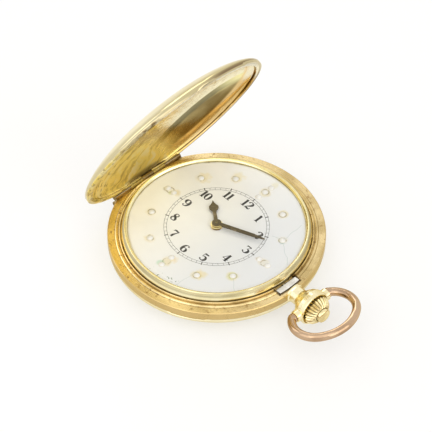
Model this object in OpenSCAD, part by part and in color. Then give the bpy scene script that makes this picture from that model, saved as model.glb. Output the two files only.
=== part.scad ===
/* [Case] */
// Outer radius of the case band
case_r = 25; // [24.8:0.1:26]
// Width of the band from the edge of the dial to the outside
band_w = 4.4; // [4.2:0.05:4.8]
// Height of the back seat above the lowest point of the back cover
back_depth = 4.7; // [4.7:0.05:5.2]
// Height of the band from the back seat to the front seat
band_h = 2.2; // [2.1:0.05:2.6]
// Height of the dial face above the front seat
dial_rise = 1.5; // [1.45:0.05:1.7]
// How far the rims of both covers stand inside the band
cover_inset = 0.15; // [0.1:0.05:0.3]
// Width of the flat seats for the two covers
seat_w = 1.55; // [1.4:0.05:1.6]
// Height of the raised ring between the seat and the bezel
crest_h = 0.64; // [0.4:0.02:0.7]

/* [Covers] */
// Height of the front cover above the front seat
lid_h = 5.4; // [5.3:0.1:6.5]
// Height of the upright rim of the front cover
lid_rim_h = 0.8; // [0.6:0.05:1]
// Metal thickness of the front cover
lid_wall = 0.45; // [0.3:0.05:0.5]
// Opening angle of the front cover in degrees
lid_open = 64.8; // [20:0.2:65]
// Metal thickness of the back cover
back_wall = 0.5; // [0.3:0.05:0.55]
// Radius of the flat middle of the back cover
back_flat_r = 12; // [9:0.5:12.5]
// Metal thickness of the inner back cover
cuvette_wall = 0.35; // [0.25:0.05:0.4]
// Gap between a closed cover and its seat
seat_gap = 0.02; // [0.01:0.01:0.05]

/* [Hinges] */
// Distance of the hinge lines from the outside of the band
hinge_in = 1.34; // [1.3:0.02:1.4]
// Radius of a hinge knuckle
knuckle_r = 0.7; // [0.6:0.02:0.74]
// Radius of the hinge pins
hinge_pin_r = 0.3; // [0.2:0.01:0.36]
// Running clearance of a cover on its pin
hinge_fit = 0.03; // [0.02:0.01:0.06]
// Clearance cut round the knuckles
knuckle_gap = 0.15; // [0.1:0.01:0.18]
// Half of the length of a hinge
hinge_half = 10.2; // [9.4:0.1:10.6]
// Half of the length of the middle knuckle
knuckle_mid = 1.7; // [1.4:0.1:2.2]
// Distance from the middle to the inner end of the outer knuckles
knuckle_out = 5.3; // [4.8:0.1:5.8]
// How far the back cover swings open in degrees
back_swing = 80; // [60:1:82]
// End play between two knuckles
knuckle_play = 0.05; // [0.03:0.01:0.1]

/* [Dial and bezel] */
// Thickness of the dial plate
dial_t = 0.4; // [0.3:0.05:0.45]
// Width of the bezel lip that covers the edge of the dial
bezel_lip = 0.3; // [0.2:0.05:0.5]
// Height of the bezel above the dial
bezel_h = 0.8; // [0.5:0.05:0.85]
// Radius of a raised touch point
point_r = 0.75; // [0.5:0.05:0.9]
// Height of a raised touch point
point_h = 0.42; // [0.2:0.02:0.5]
// Distance from the edge of the dial to the ring of single touch points
point_in = 5.05; // [4.6:0.05:5.8]

/* [Hands] */
// Length of the hour hand from the centre
hour_len = 7.46; // [6.5:0.02:8]
// Length of the minute hand from the centre
minute_len = 12; // [11:0.1:14]
// Direction of the hour hand from the crown in degrees
hour_dir = 143.5; // [0:0.5:360]
// Direction of the minute hand from the crown in degrees
minute_dir = 22.3; // [0:0.1:360]
// Thickness of both hands
hand_t = 0.25; // [0.15:0.01:0.28]
// Gap between the dial and the hour hand
hand_gap = 0.45; // [0.43:0.01:0.5]
// Gap between the two hands
hand_space = 0.15; // [0.1:0.01:0.2]

/* [Pendant, crown and bow] */
// Height of the winding axis below the front seat
stem_drop = 0.6; // [0.6:0.02:0.7]
// Radius of the pendant neck
neck_r = 2; // [1.7:0.05:2.2]
// Length of the straight neck outside the band
neck_len = 2.2; // [1.8:0.05:2.5]
// Outer radius of the pendant cup
cup_r = 4.1; // [3.95:0.05:4.3]
// Radius of the hollow in the pendant cup
cup_bore_r = 3.75; // [3.7:0.02:3.8]
// Distance from the band to the mouth of the cup
cup_end = 6.7; // [6.5:0.05:7]
// Depth of the hollow in the cup
cup_depth = 1.85; // [1.75:0.05:2]
// Radius of the fluted crown
crown_r = 3.6; // [3.3:0.02:3.66]
// Length of the fluted crown
crown_len = 3.5; // [3:0.1:4]
// Number of flutes round the crown
flutes = 26; // [18:1:30]
// Radius of the push button on the crown
button_r = 1.9; // [1.5:0.05:2.2]
// How far the button stands out of the crown
button_len = 1.1; // [0.8:0.05:1.4]
// How far the crown can be pressed in to free the front cover
press_travel = 0.5; // [0.3:0.05:0.5]
// How far the stem pulls out to set the hands
pull_travel = 1; // [0.7:0.05:1.1]
// Distance from the band to the bow's pivots
bow_pivot = 5.3; // [5.2:0.05:5.5]
// Distance between the flat outer faces of the two ears
ear_span = 10.1; // [9.8:0.1:10.4]
// Radius of an ear round the bow's pivot
ear_r = 1.4; // [1.2:0.05:1.5]
// Radius of the bow wire
wire_r = 0.99; // [0.8:0.01:1.1]
// Half width of the bow's centre line across the watch
bow_half_w = 7.9; // [7.4:0.05:8.4]
// Half length of the bow's centre line
bow_half_l = 6.3; // [6:0.05:6.8]
// Radius of the bow's two side arcs
bow_side_r = 5.5; // [5:0.05:5.6]
// Distance from the pivots to the bow's centre
bow_out = 4.27; // [4:0.01:4.4]
// Upward tilt of the resting bow in degrees
bow_tilt = 8.4; // [-20:0.2:20]
// Radius of the studs that hold the bow in the ears
stud_r = 0.5; // [0.4:0.02:0.6]
// Running clearance of the studs in the ears
stud_fit = 0.05; // [0.03:0.01:0.08]
// Side gap between the bow and the ears
bow_gap = 0.1; // [0.05:0.01:0.15]

/* [Movement] */
// Thickness of the main plate
plate_t = 2; // [1.9:0.05:2.1]
// Space between the main plate and the bridges
train_gap = 1.6; // [1.55:0.05:1.65]
// Thickness of the bridges
bridge_t = 1.1; // [0.9:0.05:1.15]
// Gap between the bridges and the band around them
bridge_gap = 0.55; // [0.4:0.05:0.7]
// Gap between the two bridges
bridge_split = 0.4; // [0.2:0.05:0.6]
// Half width of the slot for the latch
slot_half = 3.1; // [2.6:0.05:3.3]
// Radius of the slot's curved outer edge
slot_out = 23.95; // [23.7:0.05:24]
// Half length of the inner cover's hinge
cuv_half = 4.8; // [4.4:0.1:5]
// Half length of the inner cover's own knuckle
cuv_mid = 1.8; // [1.4:0.1:2.4]

/* [Hidden] */
$fn = 96;
eps = 0.01;

// Levels, measured up from the lowest point of the back
z_back = back_depth;
z_front = z_back + band_h;
z_dial = z_front + dial_rise;
z_stem = z_front - stem_drop;
z_bezel = z_dial + bezel_h;

// Radii of the band
dial_r = case_r - band_w;
point_ring = dial_r - point_in;
rim_r = case_r - cover_inset;
seat_in = case_r - cover_inset - seat_w;
skirt_in = dial_r + 0.6;
skirt_out = dial_r + 1.25;
chan_out = skirt_out + 0.1;
chan_in = dial_r - 0.5;
wall_in = dial_r - 1.25;
wall_out = case_r - 2.15;
z_wall = z_back - 1.4;
z_flange = z_front - 0.5;

// Hinges
hinge_x = -(case_r - hinge_in);
cut_r = knuckle_r + knuckle_gap;
bore_r = hinge_pin_r + hinge_fit;
trim_x = hinge_x - knuckle_r - 0.09;

// Crown, pendant and bow
cup_x = case_r + cup_end;
floor_x = cup_x - cup_depth;
neck_x = case_r + neck_len;
crown_x = floor_x + press_travel + 0.15;
pivot_x = case_r + bow_pivot;
stem_r = 0.45;
stem_hole = 0.5;
crown_bore = 0.47;
hole_deep = 2.2;
stem_end = crown_x + hole_deep - press_travel - 0.1;

// Levels of the movement
plate_top = z_front + 0.3;
plate_bot = plate_top - plate_t;
bridge_top = plate_bot - train_gap;
bridge_low = bridge_top - bridge_t;
plate_rim = z_dial - dial_t;

// Inner cover hinge
cuv_x = -(wall_out - 1.35);
cuv_z = z_wall - 0.35;
cuv_kr = 0.42;
cuv_cut = 0.6;
cuv_pin = 0.2;

// Latch spring and stem
chan_mid = chan_in + 0.95;
stem_mid_r = 0.4;
stem_tip_r = 0.3;
stem_x1 = wall_in - 1.35;
stem_x0 = stem_x1 - 7;
bridge_r = wall_in - bridge_gap;
hour_pipe_r = 0.95;
minute_pipe_r = 0.5;

// Tooth counts and modules of the train
barrel_n = 72;
barrel_m = 0.22;
centre_leaves = 12;
centre_n = 64;
centre_m = 0.155;
third_n = 60;
third_m = 0.14;
fourth_n = 60;
fourth_m = 0.125;
pin_leaves = 8;
esc_leaves = 6;
ratchet_n = 54;
crown_n = 30;
wind_m = 0.2545;
wind_n = 15;
face_n = 24;
drum_r = 7.25;
wheel_t = 0.35;
wheel_thin = 0.25;

// Places of the arbors, each set off from the one before by its mesh
function polar(r, a) = [r * cos(a), r * sin(a)];
dir_barrel = 45;
dir_third = 170;
dir_fourth = -98;
dir_escape = -78;
dir_pallet = -30;
barrel_at = polar(barrel_m * (barrel_n + centre_leaves) / 2, dir_barrel);
crown_wheel_at = [stem_x1 - 3, 0];
dir_wind = atan2(barrel_at[1], barrel_at[0] - crown_wheel_at[0]);
third_at = polar(centre_m * (centre_n + pin_leaves) / 2, dir_third);
fourth_at = third_at + polar(third_m * (third_n + pin_leaves) / 2, dir_fourth);
escape_at = fourth_at + polar(fourth_m * (fourth_n + esc_leaves) / 2, dir_escape);
pallet_at = escape_at + polar(3.35, dir_pallet);
fork_len = 3.7;
balance_at = pallet_at + polar(4.3, dir_pallet);
balance_r = 5.85;
balance_z = bridge_low + 0.35;
curls = 5;
curl_pitch = 0.58;
stud_dir = 20;
spring_z = bridge_low;
cock_z = bridge_low - 0.75;
cock_dir = 8;
lvl_drive = plate_bot - 0.45;
lvl_centre = bridge_top + 0.1;
lvl_wind = bridge_low - 0.4;
z_hand_top = z_dial + hand_gap + 2 * hand_t + hand_space + 0.3;
cock_foot = balance_at + polar(8.1, cock_dir);
click_dir = 110;
click_at = barrel_at + polar(wind_m * ratchet_n / 2 + 1.25, click_dir);
screw_dirs = [75, 22, -25, 115, 170, 230];
motion_m = 0.17;
cannon_n = 10;
minute_n = 30;
hour_n = 32;
dir_minute = -20;
minute_at = polar(motion_m * (cannon_n + minute_n) / 2, dir_minute);

// Small helpers
module xcyl(r, x0, x1, z = 0) {
  translate([x0, 0, z]) rotate([0, 90, 0]) cylinder(r = r, h = x1 - x0);
}

module ycyl(r, y0, y1, x = 0, z = 0) {
  translate([x, y1, z]) rotate([90, 0, 0]) cylinder(r = r, h = y1 - y0);
}

module ring(ro, ri, h, z = 0) {
  translate([0, 0, z]) difference() {
    cylinder(r = ro, h = h);
    translate([0, 0, -1]) cylinder(r = ri, h = h + 2);
  }
}

module disc(r, h, z = 0) {
  translate([0, 0, z]) cylinder(r = r, h = h);
}

module both_y() {
  children();
  mirror([0, 1, 0]) children();
}

// Height of the front cover's outside at radius r, from the seat
function lid_out(r, rr) = lid_rim_h + (lid_h - lid_rim_h) * pow(max(0, 1 - pow(r / rr, 2.5)), 1 / 1.5);

// Height of the back cover's outside at radius r
function back_out(r, r0, rr) = r <= r0 ? 0
  : (z_back - 0.7) * (1 - pow(max(0, 1 - pow((r - r0) / (rr - r0), 2.5)), 1 / 1.5));

// Profile of the band, turned round the axis
module band_profile() {
  w = seat_in - chan_out;
  polygon([
    [wall_in, z_wall], [wall_out, z_wall], [wall_out, z_back - 0.2], [wall_out + 0.2, z_back],
    [rim_r - 0.05, z_back], [case_r, z_back + 0.2], [case_r, z_front - 0.15], [rim_r, z_front],
    [seat_in, z_front],
    [seat_in - 0.08 * w, z_front + 0.16], [seat_in - 0.2 * w, z_front + 0.28],
    [seat_in - 0.36 * w, z_front + 0.3], [seat_in - 0.5 * w, z_front + 0.2],
    [seat_in - 0.62 * w, z_front + 0.18], [seat_in - 0.72 * w, z_front + 0.9 * crest_h],
    [seat_in - 0.8 * w, z_front + crest_h], [chan_out + 0.08 * w, z_front + 0.92 * crest_h],
    [chan_out, z_front + 0.78 * crest_h], [chan_out, z_front],
    [chan_out - 0.45, z_front], [chan_out - 0.45, z_front - 0.25], [chan_out, z_front - 0.4],
    [chan_out, z_back - 0.1], [chan_in, z_back - 0.1], [chan_in, z_flange], [wall_in, z_flange]
  ]);
}

// Pieces of a hinge line: the knuckles from y0 to y1 on both sides of the middle
module knuckles(r, y0, y1, x, z) {
  both_y() ycyl(r, y0, y1, x, z);
}

// Three knuckles of the band with their webs; side is -1 below the plane, 1 above it
module band_knuckles(z, side) {
  difference() {
    union() {
      knuckles(knuckle_r, knuckle_out, hinge_half, hinge_x, z);
      ycyl(knuckle_r, -knuckle_mid, knuckle_mid, hinge_x, z);
      for (span = [[-hinge_half, -knuckle_out], [-knuckle_mid, knuckle_mid], [knuckle_out, hinge_half]])
        translate([hinge_x, span[0], side > 0 ? z : z - knuckle_r])
          cube([hinge_in + 0.1, span[1] - span[0], knuckle_r]);
    }
    ycyl(bore_r, -hinge_half - 1, hinge_half + 1, hinge_x, z);
    xcyl(stem_hole, 0, 1, z);
  }
}

// Slanted cut that clears a cover's trimmed edge when it is fully open; turn is the signed swing
module edge_cut(z, turn) {
  translate([hinge_x, 0, z]) intersection() {
    rotate([0, turn, 0]) translate([-knuckle_r - 0.19, -8.3, -4]) cube([6, 16.6, 8]);
    translate([-4, -8.3, -1.6]) cube([4, 16.6, 3.2]);
  }
}

// Band of the case with its seats, spring channel and knuckles
module case_middle() {
  color([0.84, 0.68, 0.4]) difference() {
    union() {
      difference() {
        rotate_extrude($fn = 192) band_profile();
        ycyl(cut_r, -hinge_half - knuckle_play, hinge_half + knuckle_play, hinge_x, z_front);
        ycyl(cut_r, -hinge_half - knuckle_play, hinge_half + knuckle_play, hinge_x, z_back);
        edge_cut(z_front, -(lid_open + 0.2));
        edge_cut(z_back, back_swing);
        ycyl(cuv_cut, -cuv_half - knuckle_play, cuv_half + knuckle_play, cuv_x, cuv_z);
      }
      band_knuckles(z_front, -1);
      band_knuckles(z_back, 1);
      cuvette_knuckles_band();
    }
    // passage for the stem
    xcyl(stem_hole, wall_in - 1, case_r + 1, z_stem);
    // slot for the latch, straight inside and curved outside
    intersection() {
      translate([chan_out - 0.05, -slot_half, z_back + 0.3]) cube([4, 2 * slot_half, z_front]);
      cylinder(r = slot_out, h = 20);
    }
    // room under the lip for the foot of the latch
    translate([chan_mid, -slot_half, z_back + 0.3]) cube([1.5, 2 * slot_half, band_h - 0.7]);
  }
}

// Neck, cup and two ears that carry the crown and the bow
module pendant() {
  color([0.86, 0.66, 0.46]) difference() {
    union() {
      translate([0, 0, z_stem]) rotate([0, 90, 0]) rotate_extrude() polygon([
        [0, case_r - 1.5], [neck_r + 0.25, case_r - 1.5], [neck_r + 0.25, case_r + 0.35], [neck_r,
            case_r + 0.6],
        [neck_r, neck_x], [neck_r + 0.25, neck_x + 0.45], [neck_r + 0.85, neck_x + 1],
        [cup_r - 0.55, neck_x + 1.75], [cup_r - 0.15, neck_x + 2.6], [cup_r - 0.02, cup_x - 1],
        [cup_r, cup_x - 0.25], [cup_r - 0.1, cup_x], [0, cup_x]
      ]);
      both_y() ycyl(ear_r, 0, ear_span / 2 - 0.15, pivot_x, z_stem);
      both_y() ycyl(ear_r - 0.15, 0, ear_span / 2, pivot_x, z_stem);
    }
    cylinder(r = case_r, h = 20);
    xcyl(cup_bore_r, floor_x, cup_x + 3, z_stem);
    xcyl(stem_hole, case_r - 3, floor_x + 1, z_stem);
    ycyl(stud_r + stud_fit, ear_span / 2 - 0.85, ear_span / 2 + 1, pivot_x, z_stem);
    ycyl(stud_r + stud_fit, -ear_span / 2 - 1, -ear_span / 2 + 0.85, pivot_x, z_stem);
  }
}

// Point of an arc with the direction from its centre
function arc_step(c, r, a) = [c[0] + r * cos(a), c[1] + r * sin(a), a];

// Round wire swept along steps that each hold a point and a direction
module bow_wire(steps, sides) {
  n = len(steps);
  points = [for (s = steps) for (k = [0:sides - 1]) let (t = 360 * (k + 0.5) / sides)
    [s[0] + wire_r * cos(t) * cos(s[2]), s[1] + wire_r * cos(t) * sin(s[2]), wire_r * sin(t)]];
  walls = [for (i = [0:n - 2]) for (k = [0:sides - 1]) let (a = i * sides + k, b = i * sides + (k + 1)
      % sides)
    each [[b, a, b + sides], [b + sides, a, a + sides]]];
  polyhedron(points, concat(walls, [[for (k = [0:sides - 1]) k]], [[for (k = [sides - 1:-1:0]) (n - 1)
      * sides + k]]));
}

// Oval bow of three arcs with flattened ends and studs
module bow() {
  r2 = (bow_half_l * bow_half_l + pow(bow_half_w - bow_side_r, 2) - bow_side_r * bow_side_r)
    / (2 * (bow_half_l - bow_side_r));
  side_y = bow_half_w - bow_side_r;
  join = atan2(side_y, r2 - bow_half_l);
  last = acos(-bow_out / bow_side_r);
  end_y = side_y + bow_side_r * sin(last);
  face = ear_span / 2 + bow_gap;
  color([0.88, 0.66, 0.5]) translate([pivot_x, 0, z_stem]) rotate([0, -bow_tilt, 0]) union() {
    difference() {
      union() {
        bow_wire(concat(
          [for (i = [0:14]) arc_step([bow_out, side_y], bow_side_r, last + (join - last) * i / 15)],
          [for (i = [0:16]) arc_step([bow_out - (r2 - bow_half_l), 0], r2, join - 2 * join * i / 16)],
          [for (i = [1:15]) arc_step([bow_out, -side_y], bow_side_r, -join + (join - last) * i / 15)]), 24);
        both_y() translate([0, face, 0]) rotate([-90, 0, 0]) rotate_extrude() polygon([
          [0, 0], [wire_r + 0.12, 0], [wire_r + 0.16, 0.1], [wire_r + 0.12, 0.7], [wire_r - 0.1, 1.15],
              [0, 1.4]
        ]);
      }
      translate([-2, -face, -3]) cube([5, 2 * face, 6]);
    }
    both_y() ycyl(stud_r, ear_span / 2 - 0.75, end_y);
  }
}

// Fluted crown with its push button and the hole for the stem
module crown() {
  color([0.87, 0.72, 0.48]) difference() {
    translate([0, 0, z_stem]) rotate([0, 90, 0]) rotate_extrude() polygon([
      [0, crown_x], [crown_r - 0.5, crown_x], [crown_r - 0.08, crown_x + 0.3], [crown_r, crown_x + 0.7],
      [crown_r, crown_x + crown_len - 0.75], [crown_r - 0.12, crown_x + crown_len - 0.4],
      [crown_r - 0.45, crown_x + crown_len - 0.1], [crown_r - 0.85, crown_x + crown_len],
      [button_r + 0.55, crown_x + crown_len - 0.3], [button_r + 0.1, crown_x + crown_len - 0.45],
      [button_r, crown_x + crown_len - 0.35], [button_r, crown_x + crown_len + button_len - 0.7],
      [button_r - 0.12, crown_x + crown_len + button_len - 0.42],
      [button_r - 0.4, crown_x + crown_len + button_len - 0.2],
      [button_r - 0.85, crown_x + crown_len + button_len - 0.06],
      [button_r - 1.4, crown_x + crown_len + button_len], [0, crown_x + crown_len + button_len]
    ]);
    for (i = [0:flutes - 1])
      translate([0, 0, z_stem]) rotate([360 * i / flutes, 0, 0])
        xcyl(0.34, crown_x - 1, crown_x + crown_len + 1, crown_r + 0.1);
    for (i = [0:flutes - 1])
      translate([0, 0, z_stem]) rotate([360 * i / flutes, 0, 0])
        translate([crown_x + crown_len - 0.02, 0, button_r + 0.35]) cylinder(r = 0.2, h = crown_r,
            $fn = 16);
    xcyl(crown_bore, crown_x - 1, crown_x + hole_deep, z_stem);
  }
}

// Winding stem, thinner where it turns in the plate and the sliding pinion
module winding_stem() {
  color([0.62, 0.6, 0.58]) union() {
    xcyl(stem_r, stem_x1, stem_end, z_stem);
    xcyl(stem_mid_r, stem_x0 + 1.5, stem_x1 + eps, z_stem);
    xcyl(stem_tip_r, stem_x0, stem_x0 + 1.5 + eps, z_stem);
  }
}

// Latch head with its curved spring in the channel of the band
module lock_spring() {
  color([0.7, 0.69, 0.66]) difference() {
    union() {
      intersection() {
        ring(chan_mid + 0.25, chan_mid - 0.25, 1.5, z_back + 0.1);
        linear_extrude(20) polygon([[0, 0], [40, -46], [40, 46]]);
      }
      intersection() {
        translate([chan_mid, -slot_half + 0.15, z_back + 0.4]) cube([4, 2 * slot_half - 0.3, band_h - 0.9]);
        cylinder(r = slot_out - 0.1, h = 20);
      }
      intersection() {
        translate([chan_out + 0.5, -slot_half + 0.15, z_back + 0.5]) cube([4, 2 * slot_half - 0.3,
            band_h - 0.25]);
        cylinder(r = slot_out - 0.1, h = 20);
      }
    }
    xcyl(0.6, 15, 30, z_stem);
  }
}

// Front cover in its closed place, before it is swung open
module lid_closed() {
  difference() {
    union() {
      difference() {
        intersection() {
          translate([0, 0, z_front + seat_gap]) rotate_extrude($fn = 192) lid_profile();
          translate([trim_x, -40, 0]) cube([80, 80, 40]);
        }
        both_y() ycyl(cut_r, knuckle_out - knuckle_play, hinge_half + 3, hinge_x, z_front);
        ycyl(cut_r, -knuckle_mid - knuckle_play, knuckle_mid + knuckle_play, hinge_x, z_front);
      }
      knuckles(knuckle_r, knuckle_mid + knuckle_play, knuckle_out - knuckle_play, hinge_x, z_front);
      both_y() translate([hinge_x, knuckle_mid + knuckle_play, z_front + seat_gap])
        cube([cut_r - 0.05, knuckle_out - knuckle_mid - 2 * knuckle_play, knuckle_r - seat_gap]);
    }
    ycyl(bore_r, -hinge_half, hinge_half, hinge_x, z_front);
    intersection() {
      translate([case_r - 4, -slot_half - 0.1, z_front - 1]) cube([5, 2 * slot_half + 0.2, 1.6]);
      cylinder(r = slot_out + 0.2, h = 20);
    }
  }
}

// Domed profile of the front cover, measured from its rim plane
module lid_profile() {
  n = 26;
  inner = rim_r - 0.6;
  lip = seat_in + 0.1;
  outer_pts = [for (i = [0:n]) let (r = rim_r * sin(90 * i / n)) [r, lid_out(r, rim_r)]];
  inner_pts = [for (i = [n:-1:0]) let (r = inner * sin(90 * i / n)) if (r < lip) [r, lid_out(r, inner)
      - lid_wall]];
  polygon(concat(outer_pts, [[rim_r, 0], [lip, 0], [lip, 0.45], [lip + 0.12, lid_out(lip + 0.12, inner)
      - lid_wall]],
    inner_pts));
}

module front_lid() {
  color([0.85, 0.75, 0.5]) translate([hinge_x, 0, z_front]) rotate([0, -lid_open, 0])
    translate([-hinge_x, 0, -z_front]) lid_closed();
}

// Shallow back cover with a flat middle
module back_profile() {
  n = 18;
  rim_top = z_back - seat_gap;
  outer_pts = [for (i = [0:n]) let (r = back_flat_r + (rim_r - back_flat_r) * sin(90 * i / n)) [r,
      back_out(r, back_flat_r, rim_r)]];
  inner = rim_r - back_wall;
  lip = seat_in + 0.35;
  inner_pts = [for (i = [n:-1:0]) let (r = back_flat_r + (inner - back_flat_r) * sin(90 * i / n))
    if (r < lip) [r, back_out(r, back_flat_r, inner) + back_wall]];
  polygon(concat([[0, 0]], outer_pts, [[rim_r, rim_top], [lip, rim_top]], inner_pts, [[0, back_wall]]));
}

module back_cover() {
  color([0.85, 0.72, 0.45]) difference() {
    union() {
      difference() {
        intersection() {
          rotate_extrude($fn = 192) back_profile();
          translate([trim_x, -40, -1]) cube([80, 80, 40]);
        }
        both_y() ycyl(cut_r, knuckle_out - knuckle_play, hinge_half + 3, hinge_x, z_back);
        ycyl(cut_r, -knuckle_mid - knuckle_play, knuckle_mid + knuckle_play, hinge_x, z_back);
      }
      knuckles(knuckle_r, knuckle_mid + knuckle_play, knuckle_out - knuckle_play, hinge_x, z_back);
      both_y() translate([hinge_x, knuckle_mid + knuckle_play, z_back - knuckle_r])
        cube([cut_r - 0.05, knuckle_out - knuckle_mid - 2 * knuckle_play, knuckle_r - seat_gap]);
    }
    ycyl(bore_r, -hinge_half, hinge_half, hinge_x, z_back);
  }
}

// Pins of the two cover hinges
module hinge_pins() {
  color([0.8, 0.66, 0.4]) union() {
    ycyl(hinge_pin_r, -hinge_half, hinge_half, hinge_x, z_front);
    ycyl(hinge_pin_r, -hinge_half, hinge_half, hinge_x, z_back);
  }
}

module bezel() {
  color([0.9, 0.78, 0.5]) rotate_extrude($fn = 192) polygon([
    [dial_r - bezel_lip, z_dial + 0.02], [dial_r - bezel_lip + 0.12, z_dial + 0.6 * bezel_h],
    [dial_r, z_dial + 0.86 * bezel_h], [dial_r + 0.2, z_bezel - 0.03], [dial_r + 0.32, z_bezel],
    [dial_r + 0.5, z_bezel - 0.05], [dial_r + 0.75, z_dial + 0.6 * bezel_h], [skirt_out - 0.12,
        z_dial - 0.45],
    [skirt_out, z_dial - 0.75], [skirt_out, z_front + 0.01], [skirt_in, z_front + 0.01],
    [skirt_in, z_dial - 0.5], [dial_r + 0.1, z_dial + 0.02]
  ]);
}

// Enamelled dial with its centre hole
module dial() {
  color([0.95, 0.94, 0.9]) difference() {
    disc(dial_r, dial_t, z_dial - dial_t);
    disc(1.35, 3, z_dial - 1.5);
  }
}

function point_place(r, hour) = [r * sin(30 * hour), r * cos(30 * hour)];
point_list = concat(
  [for (h = [1, 2, 4, 5, 7, 8, 10, 11]) point_place(point_ring, h)],
  [for (r = [-2.25, -0.15, 1.85]) point_place(point_ring + r, 12)],
  [for (r = [-1.65, 1.05]) point_place(point_ring + r, 3)],
  [for (r = [-1.55, 1.45]) point_place(point_ring + r, 6)],
  [for (r = [-1.15, 0.85]) point_place(point_ring + r, 9)]);

// Raised touch points beside the hours, three at twelve and two at three, six and nine
module touch_points() {
  ball = (point_r * point_r + point_h * point_h) / (2 * point_h);
  color([0.96, 0.95, 0.92]) for (p = point_list)
    translate([p[0], p[1], z_dial]) intersection() {
      translate([0, 0, point_h - ball]) sphere(r = ball);
      cylinder(r = point_r + 1, h = 2);
    }
}

// Spade hour hand on its pipe
module hour_hand() {
  z = z_dial + hand_gap;
  k = hour_len;
  color([0.35, 0.32, 0.24]) difference() {
    union() {
      rotate([0, 0, hour_dir]) translate([0, 0, z]) linear_extrude(hand_t) polygon([
        [-1.1, -0.5], [0.9, -0.45], [k - 3.6, -0.4], [k - 3.1, -0.55], [k - 2.7, -0.95], [k - 2.2, -1.13],
        [k - 1.75, -1.05], [k - 1.3, -0.65], [k - 0.7, -0.26], [k, -0.03], [k, 0.03],
        [k - 0.7, 0.26], [k - 1.3, 0.65], [k - 1.75, 1.05], [k - 2.2, 1.13], [k - 2.7, 0.95],
        [k - 3.1, 0.55], [k - 3.6, 0.4], [0.9, 0.45], [-1.1, 0.5]
      ]);
      disc(1.4, hand_t, z);
    }
    disc(hour_pipe_r, 3, z - 1);
  }
}

// Tapered minute hand on its boss
module minute_hand() {
  z = z_dial + hand_gap + hand_t + hand_space;
  k = minute_len;
  color([0.35, 0.32, 0.24]) difference() {
    union() {
      rotate([0, 0, minute_dir]) translate([0, 0, z]) linear_extrude(hand_t) polygon([
        [0, -0.5], [k - 3, -0.44], [k - 0.8, -0.2], [k, -0.03], [k, 0.03], [k - 0.8, 0.2],
        [k - 3, 0.44], [0, 0.5]
      ]);
      disc(1.1, hand_t + 0.1, z);
    }
    disc(minute_pipe_r, 3, z - 1);
  }
}

// Knuckles of the band for the inner cover
module cuvette_knuckles_band() {
  difference() {
    both_y() union() {
      ycyl(cuv_kr, cuv_mid + knuckle_play, cuv_half, cuv_x, cuv_z);
      translate([cuv_x - 0.4, cuv_mid + knuckle_play, cuv_z]) cube([0.8,
          cuv_half - cuv_mid - knuckle_play, 0.8]);
    }
    ycyl(cuv_pin + hinge_fit, -cuv_half - 1, cuv_half + 1, cuv_x, cuv_z);
  }
}

// Dished inner cover between the back and the movement
module cuvette() {
  t = z_wall - seat_gap;
  w = cuvette_wall;
  r = wall_out - 0.95;
  color([0.86, 0.74, 0.48]) difference() {
    union() {
      difference() {
        rotate_extrude($fn = 192) polygon([
          [0, t - 1.93 - w], [r - 6, t - 1.93 - w], [r - 4.5, t - 1.78 - w], [r - 2.9, t - 1.43 - w],
          [r - 2.1, t - 1.03 - w], [r - 1.55, t - 0.43 - w], [r - 1.3, t - w], [r, t - w], [r, t],
          [r - 1.6, t], [r - 1.9, t - 0.48], [r - 2.4, t - 1.03], [r - 3.1, t - 1.43], [r - 4.6, t - 1.78],
          [r - 5.7, t - 1.93],
          [0, t - 1.93]
        ]);
        both_y() ycyl(cuv_cut, cuv_mid, cuv_half + 1, cuv_x, cuv_z);
      }
      ycyl(cuv_kr, -cuv_mid, cuv_mid, cuv_x, cuv_z);
    }
    ycyl(cuv_pin + hinge_fit, -cuv_half, cuv_half, cuv_x, cuv_z);
  }
}

// Main plate with its flange, the rim that carries the dial and the slot for the winding work
module main_plate() {
  color([0.86, 0.84, 0.78]) difference() {
    union() {
      disc(wall_in - 0.15, plate_t, plate_bot);
      disc(chan_in - 0.05, plate_top - z_flange, z_flange);
      ring(chan_in - 0.05, chan_in - 1.2, plate_rim - plate_top + eps, plate_top - eps);
      at(minute_at) disc(0.25, plate_rim - plate_top - 0.08 + eps, plate_top - eps);
    }
    disc(0.33, 20, 0);
    translate([stem_x0 + 1.4, -1.75, 0]) cube([5.7, 3.5, 20]);
    xcyl(stem_hole, stem_x1 - 1, case_r, z_stem);
    xcyl(stem_tip_r + 0.03, stem_x0 - 0.6, stem_x0 + 2, z_stem);
    at(barrel_at) disc(0.83, 0.8, plate_bot - 0.01);
    for (p = [third_at, fourth_at]) at(p) disc(0.18, 0.6, plate_bot - 0.01);
    for (p = [escape_at, pallet_at, balance_at]) at(p) disc(0.19, 0.6, plate_bot - 0.01);
  }
}

// Outline shared by the two bridges: a disc without the balance's round window
module bridge_outline() {
  difference() {
    circle(r = bridge_r);
    translate(balance_at) circle(r = balance_r + 0.75);
  }
}

// Feet ring that the bridges stand on
module bridge_feet() {
  difference() {
    ring(bridge_r, bridge_r - 1.2, train_gap + eps, bridge_top - eps);
    translate([0, -2.2, 0]) cube([30, 4.4, 20]);
    at(balance_at) disc(balance_r + 0.75, 20, 0);
  }
}

// Everything on the winding side of the slanted joint between the bridges
module right_half(gap) {
  d = bridge_r * [0.6, -1.9];
  n = [-d[1], d[0]] / norm(d);
  a = bridge_r * [-0.16, 1] + n * gap;
  linear_extrude(20) polygon([a - d, a + 2 * d, a + 2 * d + 3 * bridge_r * n, a - d + 3 * bridge_r * n]);
}

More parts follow.
